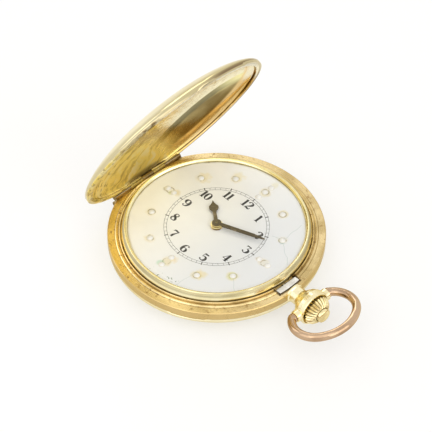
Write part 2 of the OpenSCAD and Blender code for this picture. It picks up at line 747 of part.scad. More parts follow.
// Holes through both bridges
module bridge_holes() {
  at(barrel_at) disc(0.83, 20, 0);
  at(crown_wheel_at) disc(2.5, 20, 0);
  for (p = [third_at, fourth_at]) at(p) {
    disc(0.18, 20, 0);
    disc(0.55, 0.35, bridge_low);
  }
  at(escape_at) disc(0.14, 20, 0);
  at(escape_at) disc(0.5, 0.35, bridge_low);
  disc(0.33, 20, 0);
  disc(0.7, 0.35, bridge_low);
  for (a = screw_dirs) at(polar(bridge_r - 1.4, a)) disc(0.4, 0.8, bridge_low);
  at(click_at) disc(0.28, 0.9, bridge_low);
  at(cock_foot) disc(0.38, 0.8, bridge_low);
}

// Bridge over the barrel, on the winding side
module barrel_bridge() {
  color([0.87, 0.85, 0.79]) difference() {
    intersection() {
      union() {
        translate([0, 0, bridge_low]) linear_extrude(bridge_t) bridge_outline();
        bridge_feet();
      }
      right_half(bridge_split / 2);
    }
    bridge_holes();
  }
}

// Bridge over the train
module train_bridge() {
  color([0.87, 0.85, 0.79]) difference() {
    union() {
      translate([0, 0, bridge_low]) linear_extrude(bridge_t) bridge_outline();
      bridge_feet();
    }
    right_half(-bridge_split / 2);
    bridge_holes();
  }
}

// Outline of a toothed wheel with n teeth of module m and one tooth at the angle turn
module teeth(n, m, turn = 0) {
  p = 360 / n;
  ro = m * (n / 2 + 0.5);
  ri = m * (n / 2 - 0.85);
  polygon([for (i = [0:n - 1]) for (q = [[ri, -0.29], [ro, -0.12], [ro, 0.12], [ri, 0.29]])
    let (a = turn + p * (i + q[1])) [q[0] * cos(a), q[0] * sin(a)]]);
}

// Windows that leave straight spokes between a hub and a rim
module windows(rim, hub, spokes, w, turn = 0) {
  difference() {
    circle(r = rim);
    circle(r = hub);
    for (i = [0:spokes - 1]) rotate([0, 0, turn + 360 * i / spokes]) translate([0, -w / 2])
        square([rim + 1, w]);
  }
}

// Spoked train wheel
module train_wheel(n, m, t, z, spokes, turn) {
  translate([0, 0, z]) linear_extrude(t) difference() {
    teeth(n, m, turn);
    windows(m * (n / 2 - 0.85) - 0.45, 0.95, spokes, 0.38, turn);
  }
}

// Solid pinion or small wheel
module pinion(n, m, t, z, turn) {
  translate([0, 0, z]) linear_extrude(t) teeth(n, m, turn);
}

module at(p) {
  translate([p[0], p[1], 0]) children();
}

// Barrel with its toothed edge, running free on the ratchet's arbor
module barrel() {
  color([0.82, 0.66, 0.36]) at(barrel_at) difference() {
    union() {
      pinion(barrel_n, barrel_m, 0.35, lvl_drive, dir_barrel + 180);
      disc(drum_r, 1.1, plate_bot - 1.15);
      disc(drum_r - 2.4, 0.08, plate_bot - 1.2);
    }
    disc(0.85, 20, 0);
    ring(drum_r - 0.8, drum_r - 1.1, 0.08, plate_bot - 1.16);
  }
}

// Ratchet wheel on the square end of the barrel arbor
module ratchet_wheel() {
  color([0.72, 0.72, 0.72]) at(barrel_at) union() {
    difference() {
      pinion(ratchet_n, wind_m, wheel_t, lvl_wind, dir_wind + 180 + 180 / ratchet_n);
      ring(4.6, 4.4, 0.06, lvl_wind);
    }
    disc(0.8, plate_bot + 0.7 - lvl_wind - wheel_t + eps, lvl_wind + wheel_t - eps);
    difference() {
      disc(1.5, 0.22 + eps, lvl_wind - 0.22);
      translate([-2, -0.14, lvl_wind - 0.3]) cube([4, 0.28, 0.18]);
    }
  }
}

// Crown wheel: flat winding teeth and a ring of face teeth that meet the winding pinion
module crown_wheel() {
  top = z_stem - 1.5 + 0.18;
  color([0.72, 0.72, 0.72]) at(crown_wheel_at) union() {
    difference() {
      pinion(crown_n, wind_m, wheel_t, lvl_wind, dir_wind);
      ring(2.8, 2.65, 0.06, lvl_wind);
    }
    difference() {
      ring(2.45, 2.05, top - lvl_wind - wheel_t + eps, lvl_wind + wheel_t - eps);
      for (i = [0:face_n - 1]) rotate([0, 0, 360 * i / face_n])
        translate([1.8, -0.2, top - 0.24]) cube([1, 0.4, 1]);
    }
    difference() {
      disc(1.2, 0.22 + eps, lvl_wind - 0.22);
      translate([-2, -0.12, lvl_wind - 0.3]) cube([4, 0.24, 0.18]);
    }
  }
}

// Winding pinion with straight teeth, turned by the stem
module winding_pinion() {
  color([0.62, 0.6, 0.58]) difference() {
    translate([stem_x1 - 1.85, 0, z_stem]) rotate([0, 90, 0]) linear_extrude(1.8) difference() {
      wind_teeth();
      circle(r = stem_mid_r + 0.03);
    }
    xcyl(stem_mid_r + 0.03, 10, 20, z_stem);
  }
}

module wind_teeth() {
  polygon([for (i = [0:wind_n - 1]) for (q = [[1.24, -0.27], [1.5, -0.11], [1.5, 0.11], [1.24, 0.27]])
    let (a = 360 * (i + q[1]) / wind_n) [q[0] * cos(a), q[0] * sin(a)]]);
}

// Sliding pinion with the groove for the yoke
module sliding_pinion() {
  color([0.62, 0.6, 0.58]) difference() {
    union() {
      xcyl(1.2, stem_x1 - 4.35, stem_x1 - 3.55, z_stem);
      xcyl(0.85, stem_x1 - 3.6, stem_x1 - 3, z_stem);
      xcyl(1.2, stem_x1 - 3.05, stem_x1 - 2.25, z_stem);
    }
    xcyl(stem_mid_r + 0.03, 10, 20, z_stem);
  }
}

// Centre wheel with its pinion and the long arbor that carries the cannon pinion
module centre_wheel() {
  color([0.82, 0.66, 0.36]) union() {
    train_wheel(centre_n, centre_m, wheel_thin, lvl_centre, 5, dir_third);
    pinion(centre_leaves, barrel_m, 0.45, lvl_drive - 0.05, dir_barrel + 180 / centre_leaves);
    disc(0.6, plate_bot - 0.05 - bridge_top - 0.05, bridge_top + 0.05);
    disc(0.3, z_hand_top - bridge_low - 0.35, bridge_low + 0.15);
  }
}

module third_wheel() {
  color([0.82, 0.66, 0.36]) at(third_at) arbor_with(0.2) {
    train_wheel(third_n, third_m, 0.2, bridge_top + 0.7, 5, dir_fourth);
    pinion(pin_leaves, centre_m, 0.45, bridge_top + 0.05, dir_third + 180 + 180 / pin_leaves);
  }
}

module fourth_wheel() {
  color([0.82, 0.66, 0.36]) at(fourth_at) arbor_with(0.18) {
    train_wheel(fourth_n, fourth_m, 0.2, bridge_top + 1.15, 5, dir_escape);
    pinion(pin_leaves, third_m, 0.4, bridge_top + 0.6, dir_fourth + 180 + 180 / pin_leaves);
  }
}

// Escape wheel with fifteen pointed teeth
module escape_wheel() {
  color([0.75, 0.75, 0.76]) at(escape_at) arbor_with(0.16) {
    translate([0, 0, bridge_top + 0.5]) linear_extrude(0.2) difference() {
      polygon([for (i = [0:14]) for (q = [[2, -9], [2.6, -3.4], [2.6, -1.6], [2.1, 1]])
        let (a = 24 * i + q[1] + dir_pallet + 12) [q[0] * cos(a), q[0] * sin(a)]]);
      windows(1.65, 0.6, 4, 0.3);
    }
    pinion(esc_leaves, fourth_m, 0.45, bridge_top + 1.05, dir_escape + 180 + 180 / esc_leaves);
  }
}

// Arbor between plate and bridge with a pivot of radius r in both
module arbor_with(r) {
  union() {
    disc(r + 0.08, train_gap - 0.1, bridge_top + 0.05);
    disc(r - 0.04, train_gap + 0.9, bridge_top - 0.45);
    children();
  }
}

// Pallet fork: two arms over the escape wheel and a lever to the balance roller
module pallet_fork() {
  z = bridge_top + 0.5;
  color([0.75, 0.75, 0.76]) at(pallet_at) union() {
    rotate([0, 0, dir_pallet]) translate([0, 0, z]) linear_extrude(0.2) difference() {
      union() {
        circle(r = 0.42);
        polygon([[-0.3, 0.12], [-0.6, 1.6], [-1.05, 1.85], [-1.18, 1.62], [-0.85, 1.4], [-0.55, 0],
            [-0.85, -1.4],
          [-1.18, -1.62], [-1.05, -1.85], [-0.6, -1.6], [-0.3, -0.12], [fork_len - 1, -0.14],
              [fork_len - 0.7, -0.42],
          [fork_len, -0.36], [fork_len - 0.1, -0.14], [fork_len - 0.3, -0.13], [fork_len - 0.3, 0.13],
          [fork_len - 0.1, 0.14], [fork_len, 0.36], [fork_len - 0.7, 0.42], [fork_len - 1, 0.14]]);
      }
    }
    disc(0.15, train_gap + 0.15, bridge_top + 0.2);
  }
}

// Balance wheel with timing screws, staff and roller
module balance_wheel() {
  color([0.83, 0.7, 0.4]) at(balance_at) union() {
    ring(balance_r, balance_r - 0.55, 0.55, balance_z);
    rotate([0, 0, 20]) translate([-balance_r + 0.3, -0.3, balance_z + 0.15]) cube([2 * balance_r - 0.6,
        0.6, 0.2]);
    for (i = [0:13]) rotate([0, 0, 20 + 360 * (i + 0.5) / 14])
      translate([0, 0, balance_z + 0.275]) xcyl(0.2, balance_r - 0.1, balance_r + 0.3);
    disc(0.7, 0.5, balance_z - 0.3);
    disc(0.28, 1.95, balance_z - 0.2);
    disc(0.12, plate_bot + 0.4 - balance_z + 0.85, balance_z - 0.85);
    disc(0.8, 0.15, bridge_top + 0.8);
    rotate([0, 0, dir_pallet + 180]) translate([0.65, 0, bridge_top + 0.48]) cylinder(r = 0.09, h = 0.4);
  }
}

// Flat hairspring that winds out from the collet to its stud
module hairspring() {
  n = curls * 24;
  echo(hairspring_least_gap = min([for (i = [0:n - 24])
    norm(spiral_point(i, n, 0.06) - spiral_point(i + 24, n, -0.06))]));
  inner = [for (i = [0:n]) spiral_point(i, n, -0.06)];
  outer = [for (i = [n:-1:0]) spiral_point(i, n, 0.06)];
  color([0.35, 0.4, 0.62]) at(balance_at) union() {
    translate([0, 0, spring_z]) linear_extrude(0.15) polygon(concat(inner, outer));
    rotate([0, 0, stud_dir]) translate([0.85 + curl_pitch * curls - 0.2, -0.25, balance_z - 0.5])
      cube([0.45, 0.5, 0.3]);
  }
}

function spiral_point(i, n, side) = let (a = stud_dir + 360 * curls * i / n, r = 0.85 + curl_pitch *
    curls * i / n + side)
  [r * cos(a), r * sin(a)];

// Cock that holds the upper end of the balance staff
module balance_cock() {
  z = cock_z;
  color([0.87, 0.85, 0.79]) difference() {
    union() {
      translate([0, 0, z]) linear_extrude(0.6) difference() {
        union() {
          at(balance_at) circle(r = 1.7);
          at(balance_at) rotate([0, 0, cock_dir]) polygon([[0, -1.4], [4, -1.3], [6.6, -2.6], [9.6,
              -2.9], [9.6, 2.9],
            [6.6, 2.6], [4, 1.3], [0, 1.4]]);
        }
        at(balance_at) circle(r = 0.5);
      }
      intersection() {
        translate([0, 0, z + 0.6 - eps]) linear_extrude(bridge_low - z - 0.6 + eps) at(balance_at)
            rotate([0, 0, cock_dir])
          translate([6.9, -2.5]) square([2.6, 5]);
        right_half(bridge_split / 2);
      }
    }
    at(cock_foot) disc(0.38, 10, 0);
  }
}

// Small bridge over the pallet fork
module pallet_bridge() {
  z = bridge_top - 0.05;
  color([0.87, 0.85, 0.79]) difference() {
    union() {
      translate([0, 0, z]) linear_extrude(0.4) at(pallet_at) rotate([0, 0, dir_pallet - 90]) difference() {
        translate([-0.75, -0.75]) square([4.3, 1.5]);
        circle(r = 0.18);
      }
      at(pallet_at) rotate([0, 0, dir_pallet - 90]) translate([2.6, -0.7, z]) cube([0.95, 1.4,
          plate_bot - z]);
    }
    at(pallet_at + polar(3.05, dir_pallet - 90)) {
      disc(0.44, 0.26, z - 0.01);
      disc(0.2, 0.9, z);
    }
  }
}

// Click that holds the ratchet wheel
module click() {
  c = click_at;
  tip = barrel_at + polar(wind_m * (ratchet_n / 2 + 0.5) + 0.06, click_dir - 15);
  back = barrel_at + polar(wind_m * (ratchet_n / 2 + 0.5) + 0.75, click_dir - 14);
  color([0.7, 0.7, 0.72]) difference() {
    union() {
      at(c) disc(0.75, wheel_t - 0.05, lvl_wind);
      translate([0, 0, lvl_wind]) linear_extrude(wheel_t - 0.05)
        polygon([c + polar(0.75, click_dir + 80), tip, back, c + polar(0.75, click_dir)]);
      at(c) disc(0.5, 0.2, lvl_wind - 0.18);
      at(c) disc(0.25, 1, lvl_wind);
    }
    at(c) translate([-1, -0.08, lvl_wind - 0.25]) cube([2, 0.16, 0.15]);
  }
}

// Thin curved spring that rests against the click
module click_spring() {
  color([0.7, 0.7, 0.72]) at(barrel_at) union() {
    intersection() {
      ring(8.85, 8.65, 0.25, lvl_wind + 0.05);
      linear_extrude(20) polygon([[0, 0], polar(20, click_dir + 6), polar(20, click_dir + 40)]);
    }
    at(polar(8.75, click_dir + 40)) disc(0.45, bridge_low - lvl_wind + 0.15, lvl_wind - 0.15);
  }
}

// Screws that hold the bridges, the cock and the pallet bridge
module bridge_screws() {
  color([0.45, 0.47, 0.6]) {
    for (a = screw_dirs) at(polar(bridge_r - 1.4, a)) screw(0.8, bridge_low, a);
    at(cock_foot) screw(0.8, cock_z, 30);
    at(pallet_at + polar(3.05, dir_pallet - 90)) screw(0.42, bridge_top + 0.2, 70);
  }
}

module screw(r, z, turn) {
  difference() {
    union() {
      disc(r, 0.25, z - 0.25);
      disc(0.45 * r, 0.6, z - eps);
    }
    rotate([0, 0, turn]) translate([-r - 1, -0.1 * r - 0.03, z - 0.4]) cube([2 * r + 2, 0.2 * r + 0.06,
        0.28]);
  }
}

// Red jewels at the pivots
module jewels() {
  color([0.75, 0.08, 0.2]) {
    for (p = [third_at, fourth_at]) at(p) ring(0.55, 0.19, 0.35, bridge_low);
    at([0, 0]) ring(0.7, 0.33, 0.35, bridge_low);
    at(escape_at) ring(0.5, 0.15, 0.35, bridge_low);
    at(balance_at) ring(0.5, 0.14, 0.45, cock_z + 0.1);
  }
}

// Minute wheel with its pinion, turning on a post of the main plate
module minute_wheel() {
  color([0.82, 0.66, 0.36]) at(minute_at) difference() {
    union() {
      pinion(minute_n, motion_m, 0.25, plate_top + 0.05, dir_minute + 180);
      pinion(pin_leaves, motion_m, 0.4, plate_top + 0.28, dir_minute + 180 + 180 / pin_leaves);
    }
    disc(0.28, 20, 0);
  }
}

// Cannon pinion that slips on the centre arbor and carries the minute hand
module cannon_pinion() {
  color([0.6, 0.58, 0.55]) difference() {
    union() {
      disc(minute_pipe_r, z_hand_top - 0.15 - plate_top - 0.05, plate_top + 0.05);
      pinion(cannon_n, motion_m, 0.25, plate_top + 0.05, dir_minute + 180 / cannon_n);
    }
    disc(0.33, 20, 0);
  }
}

// Hour wheel with the pipe that carries the hour hand
module hour_wheel() {
  color([0.85, 0.7, 0.4]) difference() {
    union() {
      disc(hour_pipe_r, z_dial + hand_gap + hand_t - plate_top - 0.35, plate_top + 0.35);
      pinion(hour_n, motion_m, 0.25, plate_top + 0.38, dir_minute);
    }
    disc(minute_pipe_r + 0.05, 20, 0);
  }
}

// Arc spring at the hinge that throws the front cover open
module lift_spring() {
  color([0.7, 0.69, 0.66]) union() {
    intersection() {
      ring(chan_mid + 0.2, chan_mid - 0.2, 1.4, z_back + 0.15);
      linear_extrude(20) polygon([[0, 0], polar(60, 145), polar(60, 190), polar(60, 215)]);
    }
    for (a = [147, 213]) at(polar(chan_mid, a)) disc(0.5, 1.5, z_back - 0.05);
  }
}

case_middle();
pendant();
bezel();
dial();
touch_points();
main_plate();
barrel_bridge();
train_bridge();
balance_cock();
pallet_bridge();
jewels();
bridge_screws();
barrel();
ratchet_wheel();
crown_wheel();
click();
click_spring();
centre_wheel();
third_wheel();
fourth_wheel();
escape_wheel();
pallet_fork();
balance_wheel();
hairspring();
cannon_pinion();
minute_wheel();
hour_wheel();
hour_hand();
minute_hand();
winding_pinion();
sliding_pinion();
winding_stem();
crown();
lock_spring();
lift_spring();
hinge_pins();
front_lid();
back_cover();
cuvette();
bow();
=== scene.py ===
"""Looks for a full hunter pocket watch with a raised-point dial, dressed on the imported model's frame."""
import logging
import math
from dataclasses import dataclass
from enum import Enum
from typing import Sequence, Union

import bmesh
import bpy
from mathutils import Matrix, Vector


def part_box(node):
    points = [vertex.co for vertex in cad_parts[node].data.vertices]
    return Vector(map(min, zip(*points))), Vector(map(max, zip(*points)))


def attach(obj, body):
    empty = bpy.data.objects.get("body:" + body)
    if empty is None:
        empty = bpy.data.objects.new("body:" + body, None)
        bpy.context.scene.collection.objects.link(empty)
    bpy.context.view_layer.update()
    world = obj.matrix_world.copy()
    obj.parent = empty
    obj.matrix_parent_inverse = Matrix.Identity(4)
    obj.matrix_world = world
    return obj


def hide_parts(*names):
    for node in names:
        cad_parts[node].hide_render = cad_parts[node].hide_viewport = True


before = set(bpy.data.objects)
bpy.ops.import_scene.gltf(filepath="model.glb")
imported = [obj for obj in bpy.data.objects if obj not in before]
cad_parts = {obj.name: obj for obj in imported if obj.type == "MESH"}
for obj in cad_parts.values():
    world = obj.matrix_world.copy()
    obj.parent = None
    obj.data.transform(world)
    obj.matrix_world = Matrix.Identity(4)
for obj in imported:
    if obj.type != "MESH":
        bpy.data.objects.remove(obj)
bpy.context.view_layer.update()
LOG = logging.getLogger("watch")
# One millimetre in metres, the unit of the scene.
MM = 0.001
# Height of the dial's face.
DIAL_Z = 8.4 * MM
# Corners closer than this are shaded as one, and how much the larger faces count there.
WELD_GAP = 0.002 * MM
NORMAL_WEIGHT = 60
# How gold colours what it mirrors at a grazing angle.
GRAZE = (0.88, 0.80, 0.58, 1.0)
LID_GRAZE = (0.93, 0.89, 0.74, 1.0)

Colour = tuple[float, float, float]
Spot = tuple[float, float]
Span = tuple[float, float]
Density = tuple[float, float, float]
Patches = tuple[float, float, Span]
Stroke = Sequence[tuple[float, float, float]]


class Term:
    """A socket of a node tree, on which plain arithmetic adds Math nodes."""

    def __init__(self, tree: bpy.types.NodeTree, socket: bpy.types.NodeSocket) -> None:
        """Keeps the tree and its output socket."""
        self.tree = tree
        self.socket = socket

    def _maths(self, operation: str, *operands: "Operand") -> "Term":
        """Adds one Math node.

        Args:
            operation: the node's operation.
            operands: the terms or numbers it works on, in order.

        Returns:
            The node's result.
        """
        node = self.tree.nodes.new("ShaderNodeMath")
        node.operation = operation
        for slot, operand in zip(node.inputs, operands):
            if isinstance(operand, Term):
                self.tree.links.new(operand.socket, slot)
            else:
                slot.default_value = float(operand)
        return Term(self.tree, node.outputs[0])

    def __add__(self, other: "Operand") -> "Term":
        """Term plus other."""
        return self._maths("ADD", self, other)

    def __radd__(self, other: "Operand") -> "Term":
        """Other plus term."""
        return self._maths("ADD", other, self)

    def __sub__(self, other: "Operand") -> "Term":
        """Term minus other."""
        return self._maths("SUBTRACT", self, other)

    def __rsub__(self, other: "Operand") -> "Term":
        """Other minus term."""
        return self._maths("SUBTRACT", other, self)

    def __mul__(self, other: "Operand") -> "Term":
        """Term times other."""
        return self._maths("MULTIPLY", self, other)

    def __rmul__(self, other: "Operand") -> "Term":
        """Other times term."""
        return self._maths("MULTIPLY", other, self)

    def __lt__(self, other: "Operand") -> "Term":
        """1 where term is less than other."""
        return self._maths("LESS_THAN", self, other)

    def __gt__(self, other: "Operand") -> "Term":
        """1 where term is greater than other."""
        return self._maths("GREATER_THAN", self, other)

    def __abs__(self) -> "Term":
        """Size of term without its sign."""
        return self._maths("ABSOLUTE", self)


Operand = Union[Term, float, int]
Setting = Union[Term, float, int, Sequence[float], str]
Layer = tuple[Setting, Operand]


class Paint:
    """The nodes of one material or world in the making."""

    def __init__(self, owner: Union[bpy.types.Material, bpy.types.World]) -> None:
        """Starts on the owner's emptied node tree.

        Args:
            owner: the material or world that is painted.
        """
        owner.use_nodes = True
        self.owner = owner
        self.tree = owner.node_tree
        self.tree.nodes.clear()
        self.normal: dict[str, Term] = {}

    @classmethod
    def material(cls, name: str) -> "Paint":
        """The paint of a new material."""
        return cls(bpy.data.materials.new(name))

    def feed(self, slot: bpy.types.NodeSocket, value: Setting) -> None:
        """Links a term to an input socket, or sets the socket's own value.

        Args:
            slot: the input socket.
            value: a term, or a number, vector or colour; a colour's alpha may be left out.
        """
        if isinstance(value, Term):
            self.tree.links.new(value.socket, slot)
        elif isinstance(value, (tuple, list)) and slot.type == "RGBA" and len(value) == 3:
            slot.default_value = (*value, 1.0)
        else:
            slot.default_value = value

    def node(self, kind: str, settings: dict[str, object], sockets: dict[Union[str, int], Setting],
             output: Union[str, int] = 0) -> Term:
        """Adds any node.

        Args:
            kind: the node's type without ShaderNode in front.
            settings: its settings, set first.
            sockets: values or links of its inputs.
            output: which output is returned.

        Returns:
            The chosen output; an output node's term has no socket.
        """
        node = self.tree.nodes.new("ShaderNode" + kind)
        for name, value in settings.items():
            setattr(node, name, value)
        for name, value in sockets.items():
            self.feed(node.inputs[name], value)
        return Term(self.tree, node.outputs[output] if node.outputs else None)

    def place(self) -> Term:
        """Position on the piece at rest, in metres."""
        return self.node("TexCoord", {}, {}, "Object")

    def split(self, vector: Term) -> tuple[Term, ...]:
        """The three numbers of a vector."""
        first = self.node("SeparateXYZ", {}, {0: vector})
        return tuple(Term(self.tree, socket) for socket in first.socket.node.outputs)

    def axes(self) -> tuple[Term, ...]:
        """The three coordinates of the position, in millimetres."""
        return tuple(axis * (1 / MM) for axis in self.split(self.place()))

    def maths(self, operation: str, *operands: Operand) -> Term:
        """A Math node of the given operation on operands."""
        return self.node("Math", {"operation": operation}, dict(enumerate(operands)))

    def length(self, across: Term, up: Term) -> Term:
        """Distance from the origin of two coordinates."""
        return self.maths("SQRT", across * across + up * up)

    def polar(self, centre: Spot = (0.0, 0.0)) -> tuple[Term, Term, Term]:
        """Place round an upright axis.

        Args:
            centre: where the axis stands, in millimetres.

        Returns:
            The radius in millimetres, the angle from +X in radians and the height in millimetres.
        """
        x, y, z = self.axes()
        x, y = x - centre[0], y - centre[1]
        return self.length(x, y), self.maths("ARCTAN2", y, x), z

    def point(self, x: Operand, y: Operand, z: Operand) -> Term:
        """A vector from three numbers."""
        return self.node("CombineXYZ", {}, {0: x, 1: y, 2: z})

    def noise(self, scale: float, detail: float = 3.0, vector: Union[Term, None] = None,
              rough: float = 0.5) -> Term:
        """Noise between 0 and 1.

        Args:
            scale: features per unit of the vector; per metre when no vector is given.
            detail: octaves.
            vector: where it is read; the position on the piece when left out.
            rough: how strong the finer octaves are.

        Returns:
            The noise.
        """
        where = vector if vector is not None else self.place()
        sockets = {"Vector": where, "Scale": scale, "Detail": detail, "Roughness": rough}
        return self.node("TexNoise", {}, sockets)

    def streaks(self, coordinates: Sequence[Term], density: Density, detail: float, rough: float) -> Term:
        """Noise stretched over three coordinates, with so many features per unit of each."""
        vector = self.point(*(part * rate for part, rate in zip(coordinates, density)))
        return self.noise(1.0, detail, vector, rough)

    def ramp(self, value: Term, low: float, high: float) -> Term:
        """0 where value is below low, 1 above high, smooth between; high may be below low."""
        return self.node("MapRange", {"interpolation_type": "SMOOTHSTEP"},
                         {"Value": value, "From Min": low, "From Max": high, "To Min": 0.0, "To Max": 1.0})

    def clouds(self, patches: Patches) -> Term:
        """Soft patches, given as features per metre, octaves and the span of noise that is ramped."""
        scale, detail, span = patches
        return self.ramp(self.noise(scale, detail), *span)

    def mix(self, first: Setting, second: Setting, share: Operand) -> Term:
        """The first colour where share is 0, the second where it is 1."""
        return self.node("Mix", {"data_type": "RGBA"}, {0: share, 6: first, 7: second}, 2)

    def lay(self, shade: Setting, *layers: Layer) -> Term:
        """Lays colours over a shade.

        Args:
            shade: the colour or term under them.
            layers: colour and mask of each, from the lowest up.

        Returns:
            The shade with all of them on it.
        """
        for tint, mask in layers:
            shade = self.mix(shade, tint, mask)
        return shade

    def direct_ray(self) -> Term:
        """Tells what the camera sees, also in metal and through clear parts, from soft light.

        Returns:
            1 for a camera, glossy or transmission ray, 0 for any other.
        """
        seen = self.node("LightPath", {}, {}, "Is Camera Ray")
        for ray in ("Is Glossy Ray", "Is Transmission Ray"):
            seen = self.maths("MAXIMUM", seen, self.node("LightPath", {}, {}, ray))
        return seen

    def bump(self, height: Term, depth: float) -> None:
        """Gives the shader a bump of height 0 to 1 over a depth in metres."""
        sockets = {"Strength": 1.0, "Distance": depth, "Height": height}
        self.normal = {"Normal": self.node("Bump", {}, sockets)}

    def shader(self, **sockets: Setting) -> Term:
        """A Principled shader with the sockets given, named with _ for blanks, and the bump."""
        named = {name.replace("_", " "): value for name, value in sockets.items()}
        return self.node("BsdfPrincipled", {}, {**self.normal, **named})

    def surface(self, shader: Term) -> None:
        """Ends the tree with a shader."""
        kind = "OutputWorld" if isinstance(self.owner, bpy.types.World) else "OutputMaterial"
        self.node(kind, {}, {"Surface": shader})

    def finish(self, **sockets: Setting) -> bpy.types.Material:
        """Ends the material with a Principled shader and returns it."""
        self.surface(self.shader(**sockets))
        return self.owner


@dataclass(frozen=True)
class Groove:
    """A dark turned line on the gold; sizes in millimetres."""

    middle: float
    half: float
    low: float
    high: float
    strength: float

    def mask(self, paint: Paint, radius: Term, height: Term, uneven: Term) -> Term:
        """Where the dark line lies.

        Args:
            paint: the material in the making.
            radius: distance from the watch's axis in millimetres.
            height: height in millimetres.
            uneven: noise that breaks the line up.

        Returns:
            The groove's strength on the line, 0 off it.
        """
        line = paint.ramp(abs(radius - self.middle), self.half, self.half * 0.35)
        level = (height > self.low) * (height < self.high)
        return line * level * paint.ramp(uneven, 0.2, 0.5) * self.strength


@dataclass(frozen=True)
class Gold:
    """A worn gold-plated finish, polished or turned round the watch's axis."""

    name: str
    light: Colour
    deep: Colour
    gloss: float = 0.16
    haze: float = 0.12
    tarnish: float = 0.5
    lathe: float = 0.0
    dents: float = 0.0
    spots: float = 0.3
    grooves: tuple[Groove, ...] = ()
    # Colour of the dark turned lines; on the bezel they are a painted dark reflection.
    dirt: Colour = (0.14, 0.1, 0.035)
    pit_share: Colour = (0.55, 0.42, 0.3)
    patches: Patches = (150.0, 4.0, (0.38, 0.66))
    streak_density: Density = (9.0, 1.6, 9.0)
    hair_density: Density = (40.0, 1.3, 3.0)
    pit_scale: float = 900.0
    dent_scale: float = 260.0
    relief: float = 0.02 * MM

    def make(self) -> bpy.types.Material:
        """Paints two golds in clouds, brown pits, dark turned lines, hairlines and dents.

        Returns:
            The material.
        """
        paint = Paint.material(self.name)
        radius, angle, height = paint.polar()
        clouds = paint.clouds(self.patches)
        streaks = paint.streaks((radius, angle, height), self.streak_density, 4.0, 0.65)
        hairs = paint.streaks((angle, radius, height), self.hair_density, 2.0, 0.5)
        # Less deep gold where light is painted on.
        share = clouds * self.tarnish + (streaks - 0.5) * 0.35 - self.lighter(paint, angle)
        pits = paint.noise(self.pit_scale, 3.0, None, 0.7)
        pits = paint.ramp(pits, 0.64 - self.spots * 0.08, 0.72) * self.spots
        brown = tuple(deep * part for deep, part in zip(self.deep, self.pit_share))
        # Dark turned lines; on the bezel these are a painted dark reflection.
        dirt = 0.0
        for groove in self.grooves:
            dirt = paint.maths("MAXIMUM", dirt, groove.mask(paint, radius, height, streaks))
        shade = paint.lay(paint.mix(self.light, self.deep, share), (brown, pits), (self.dirt, dirt))
        shade = self.marked(paint, shade, clouds)
        rough = self.gloss + self.haze * paint.ramp(streaks, 0.35, 0.75) + clouds * 0.05 + pits * 0.25
        grain = streaks * (0.3 + self.lathe) + hairs * 0.12
        paint.bump(grain + paint.noise(self.dent_scale, 1.0) * self.dents, self.relief)
        return paint.finish(Base_Color=shade, Roughness=rough + dirt * 0.4, Metallic=1.0, Specular_Tint=GRAZE)

    def lighter(self, paint: Paint, angle: Term) -> Operand:
        """How much of the deep gold is taken away as painted light at an angle round the axis: none on a
        plain finish.
        """
        return 0.0

    def marked(self, paint: Paint, shade: Term, clouds: Term) -> Term:
        """The shade with the marks of one place on it: none on a plain finish."""
        return shade


@dataclass(frozen=True)
class BandGold(Gold):
    """The band's gold, with painted light to the left, painted shade on the wall, and painted shadow at the
    hinge's root and round the catch's slot.
    """

    # Painted light: less deep gold on one side round the axis and more on the other.
    sweep: float = 0.18
    sweep_angle: float = 3.94
    sweep_shift: float = 0.3
    # Painted shade: a deeper gold on the outer wall.
    wall: Colour = (0.60, 0.43, 0.18)
    wall_span: Span = (24.7, 24.9)
    # Colour of the painted shadow at the hinge's root and round the catch's slot.
    grime: Colour = (0.10, 0.06, 0.025)
    root_x: Span = (-22.4, -23.3)
    root_y: Span = (12.6, 11.2)
    root_fray: float = 0.5
    slot_half: float = 3.22
    slot_out: float = 24.05
    slot_in: float = 21.9
    slot_floor: float = 6.0
    side_reach: float = 24.25
    end_half: float = 3.3
    side_line: Span = (0.36, 0.12)
    end_line: Span = (0.3, 0.1)

    def lighter(self, paint: Paint, angle: Term) -> Term:
        """Painted light: less deep gold on the left and more on the right, as the camera sees it."""
        return (paint.maths("COSINE", angle - self.sweep_angle) - self.sweep_shift) * self.sweep

    def marked(self, paint: Paint, shade: Term, clouds: Term) -> Term:
        """Lays the painted shade on the wall, the painted shadow at the hinge's root and the painted shadow
        round the catch's slot on the gold.

        Args:
            paint: the material in the making.
            shade: the gold's colour.
            clouds: patches that fray the edge of the painted shadow at the hinge's root.

        Returns:
            The marked colour.
        """
        radius, _, height = paint.polar()
        x, y, _ = paint.axes()
        root = paint.ramp(x - clouds * self.root_fray, *self.root_x) * paint.ramp(abs(y), *self.root_y)
        sides = paint.ramp(abs(abs(y) - self.slot_half), *self.side_line) * (radius < self.side_reach)
        end = paint.ramp(abs(radius - self.slot_out), *self.end_line) * (abs(y) < self.end_half)
        slot = (sides + end) * (x > self.slot_in) * (height > self.slot_floor)
        # Painted shadow at the hinge's root and round the catch's slot, then painted shade on the wall.
        dirt = paint.maths("MAXIMUM", root * 0.75, slot * 0.8)
        return paint.lay(shade, (self.wall, paint.ramp(radius, *self.wall_span) * 0.85), (self.grime, dirt))


@dataclass(frozen=True)
class LidPlace:
    """A point of the front cover: its coordinates in millimetres and the noises that fray its marks.

    Marks inside lie along a slant: along runs with it and across at right angles; reach runs from the hinge.
    """

    y: Term
    reach: Term
    depth: Term
    across: Term
    along: Term
    clouds: Term
    brush: Term
    soft: Term

    @property
    def wavy(self) -> Term:
        """A fine waver of the marks' edges."""
        return (self.brush - 0.5) * 1.6


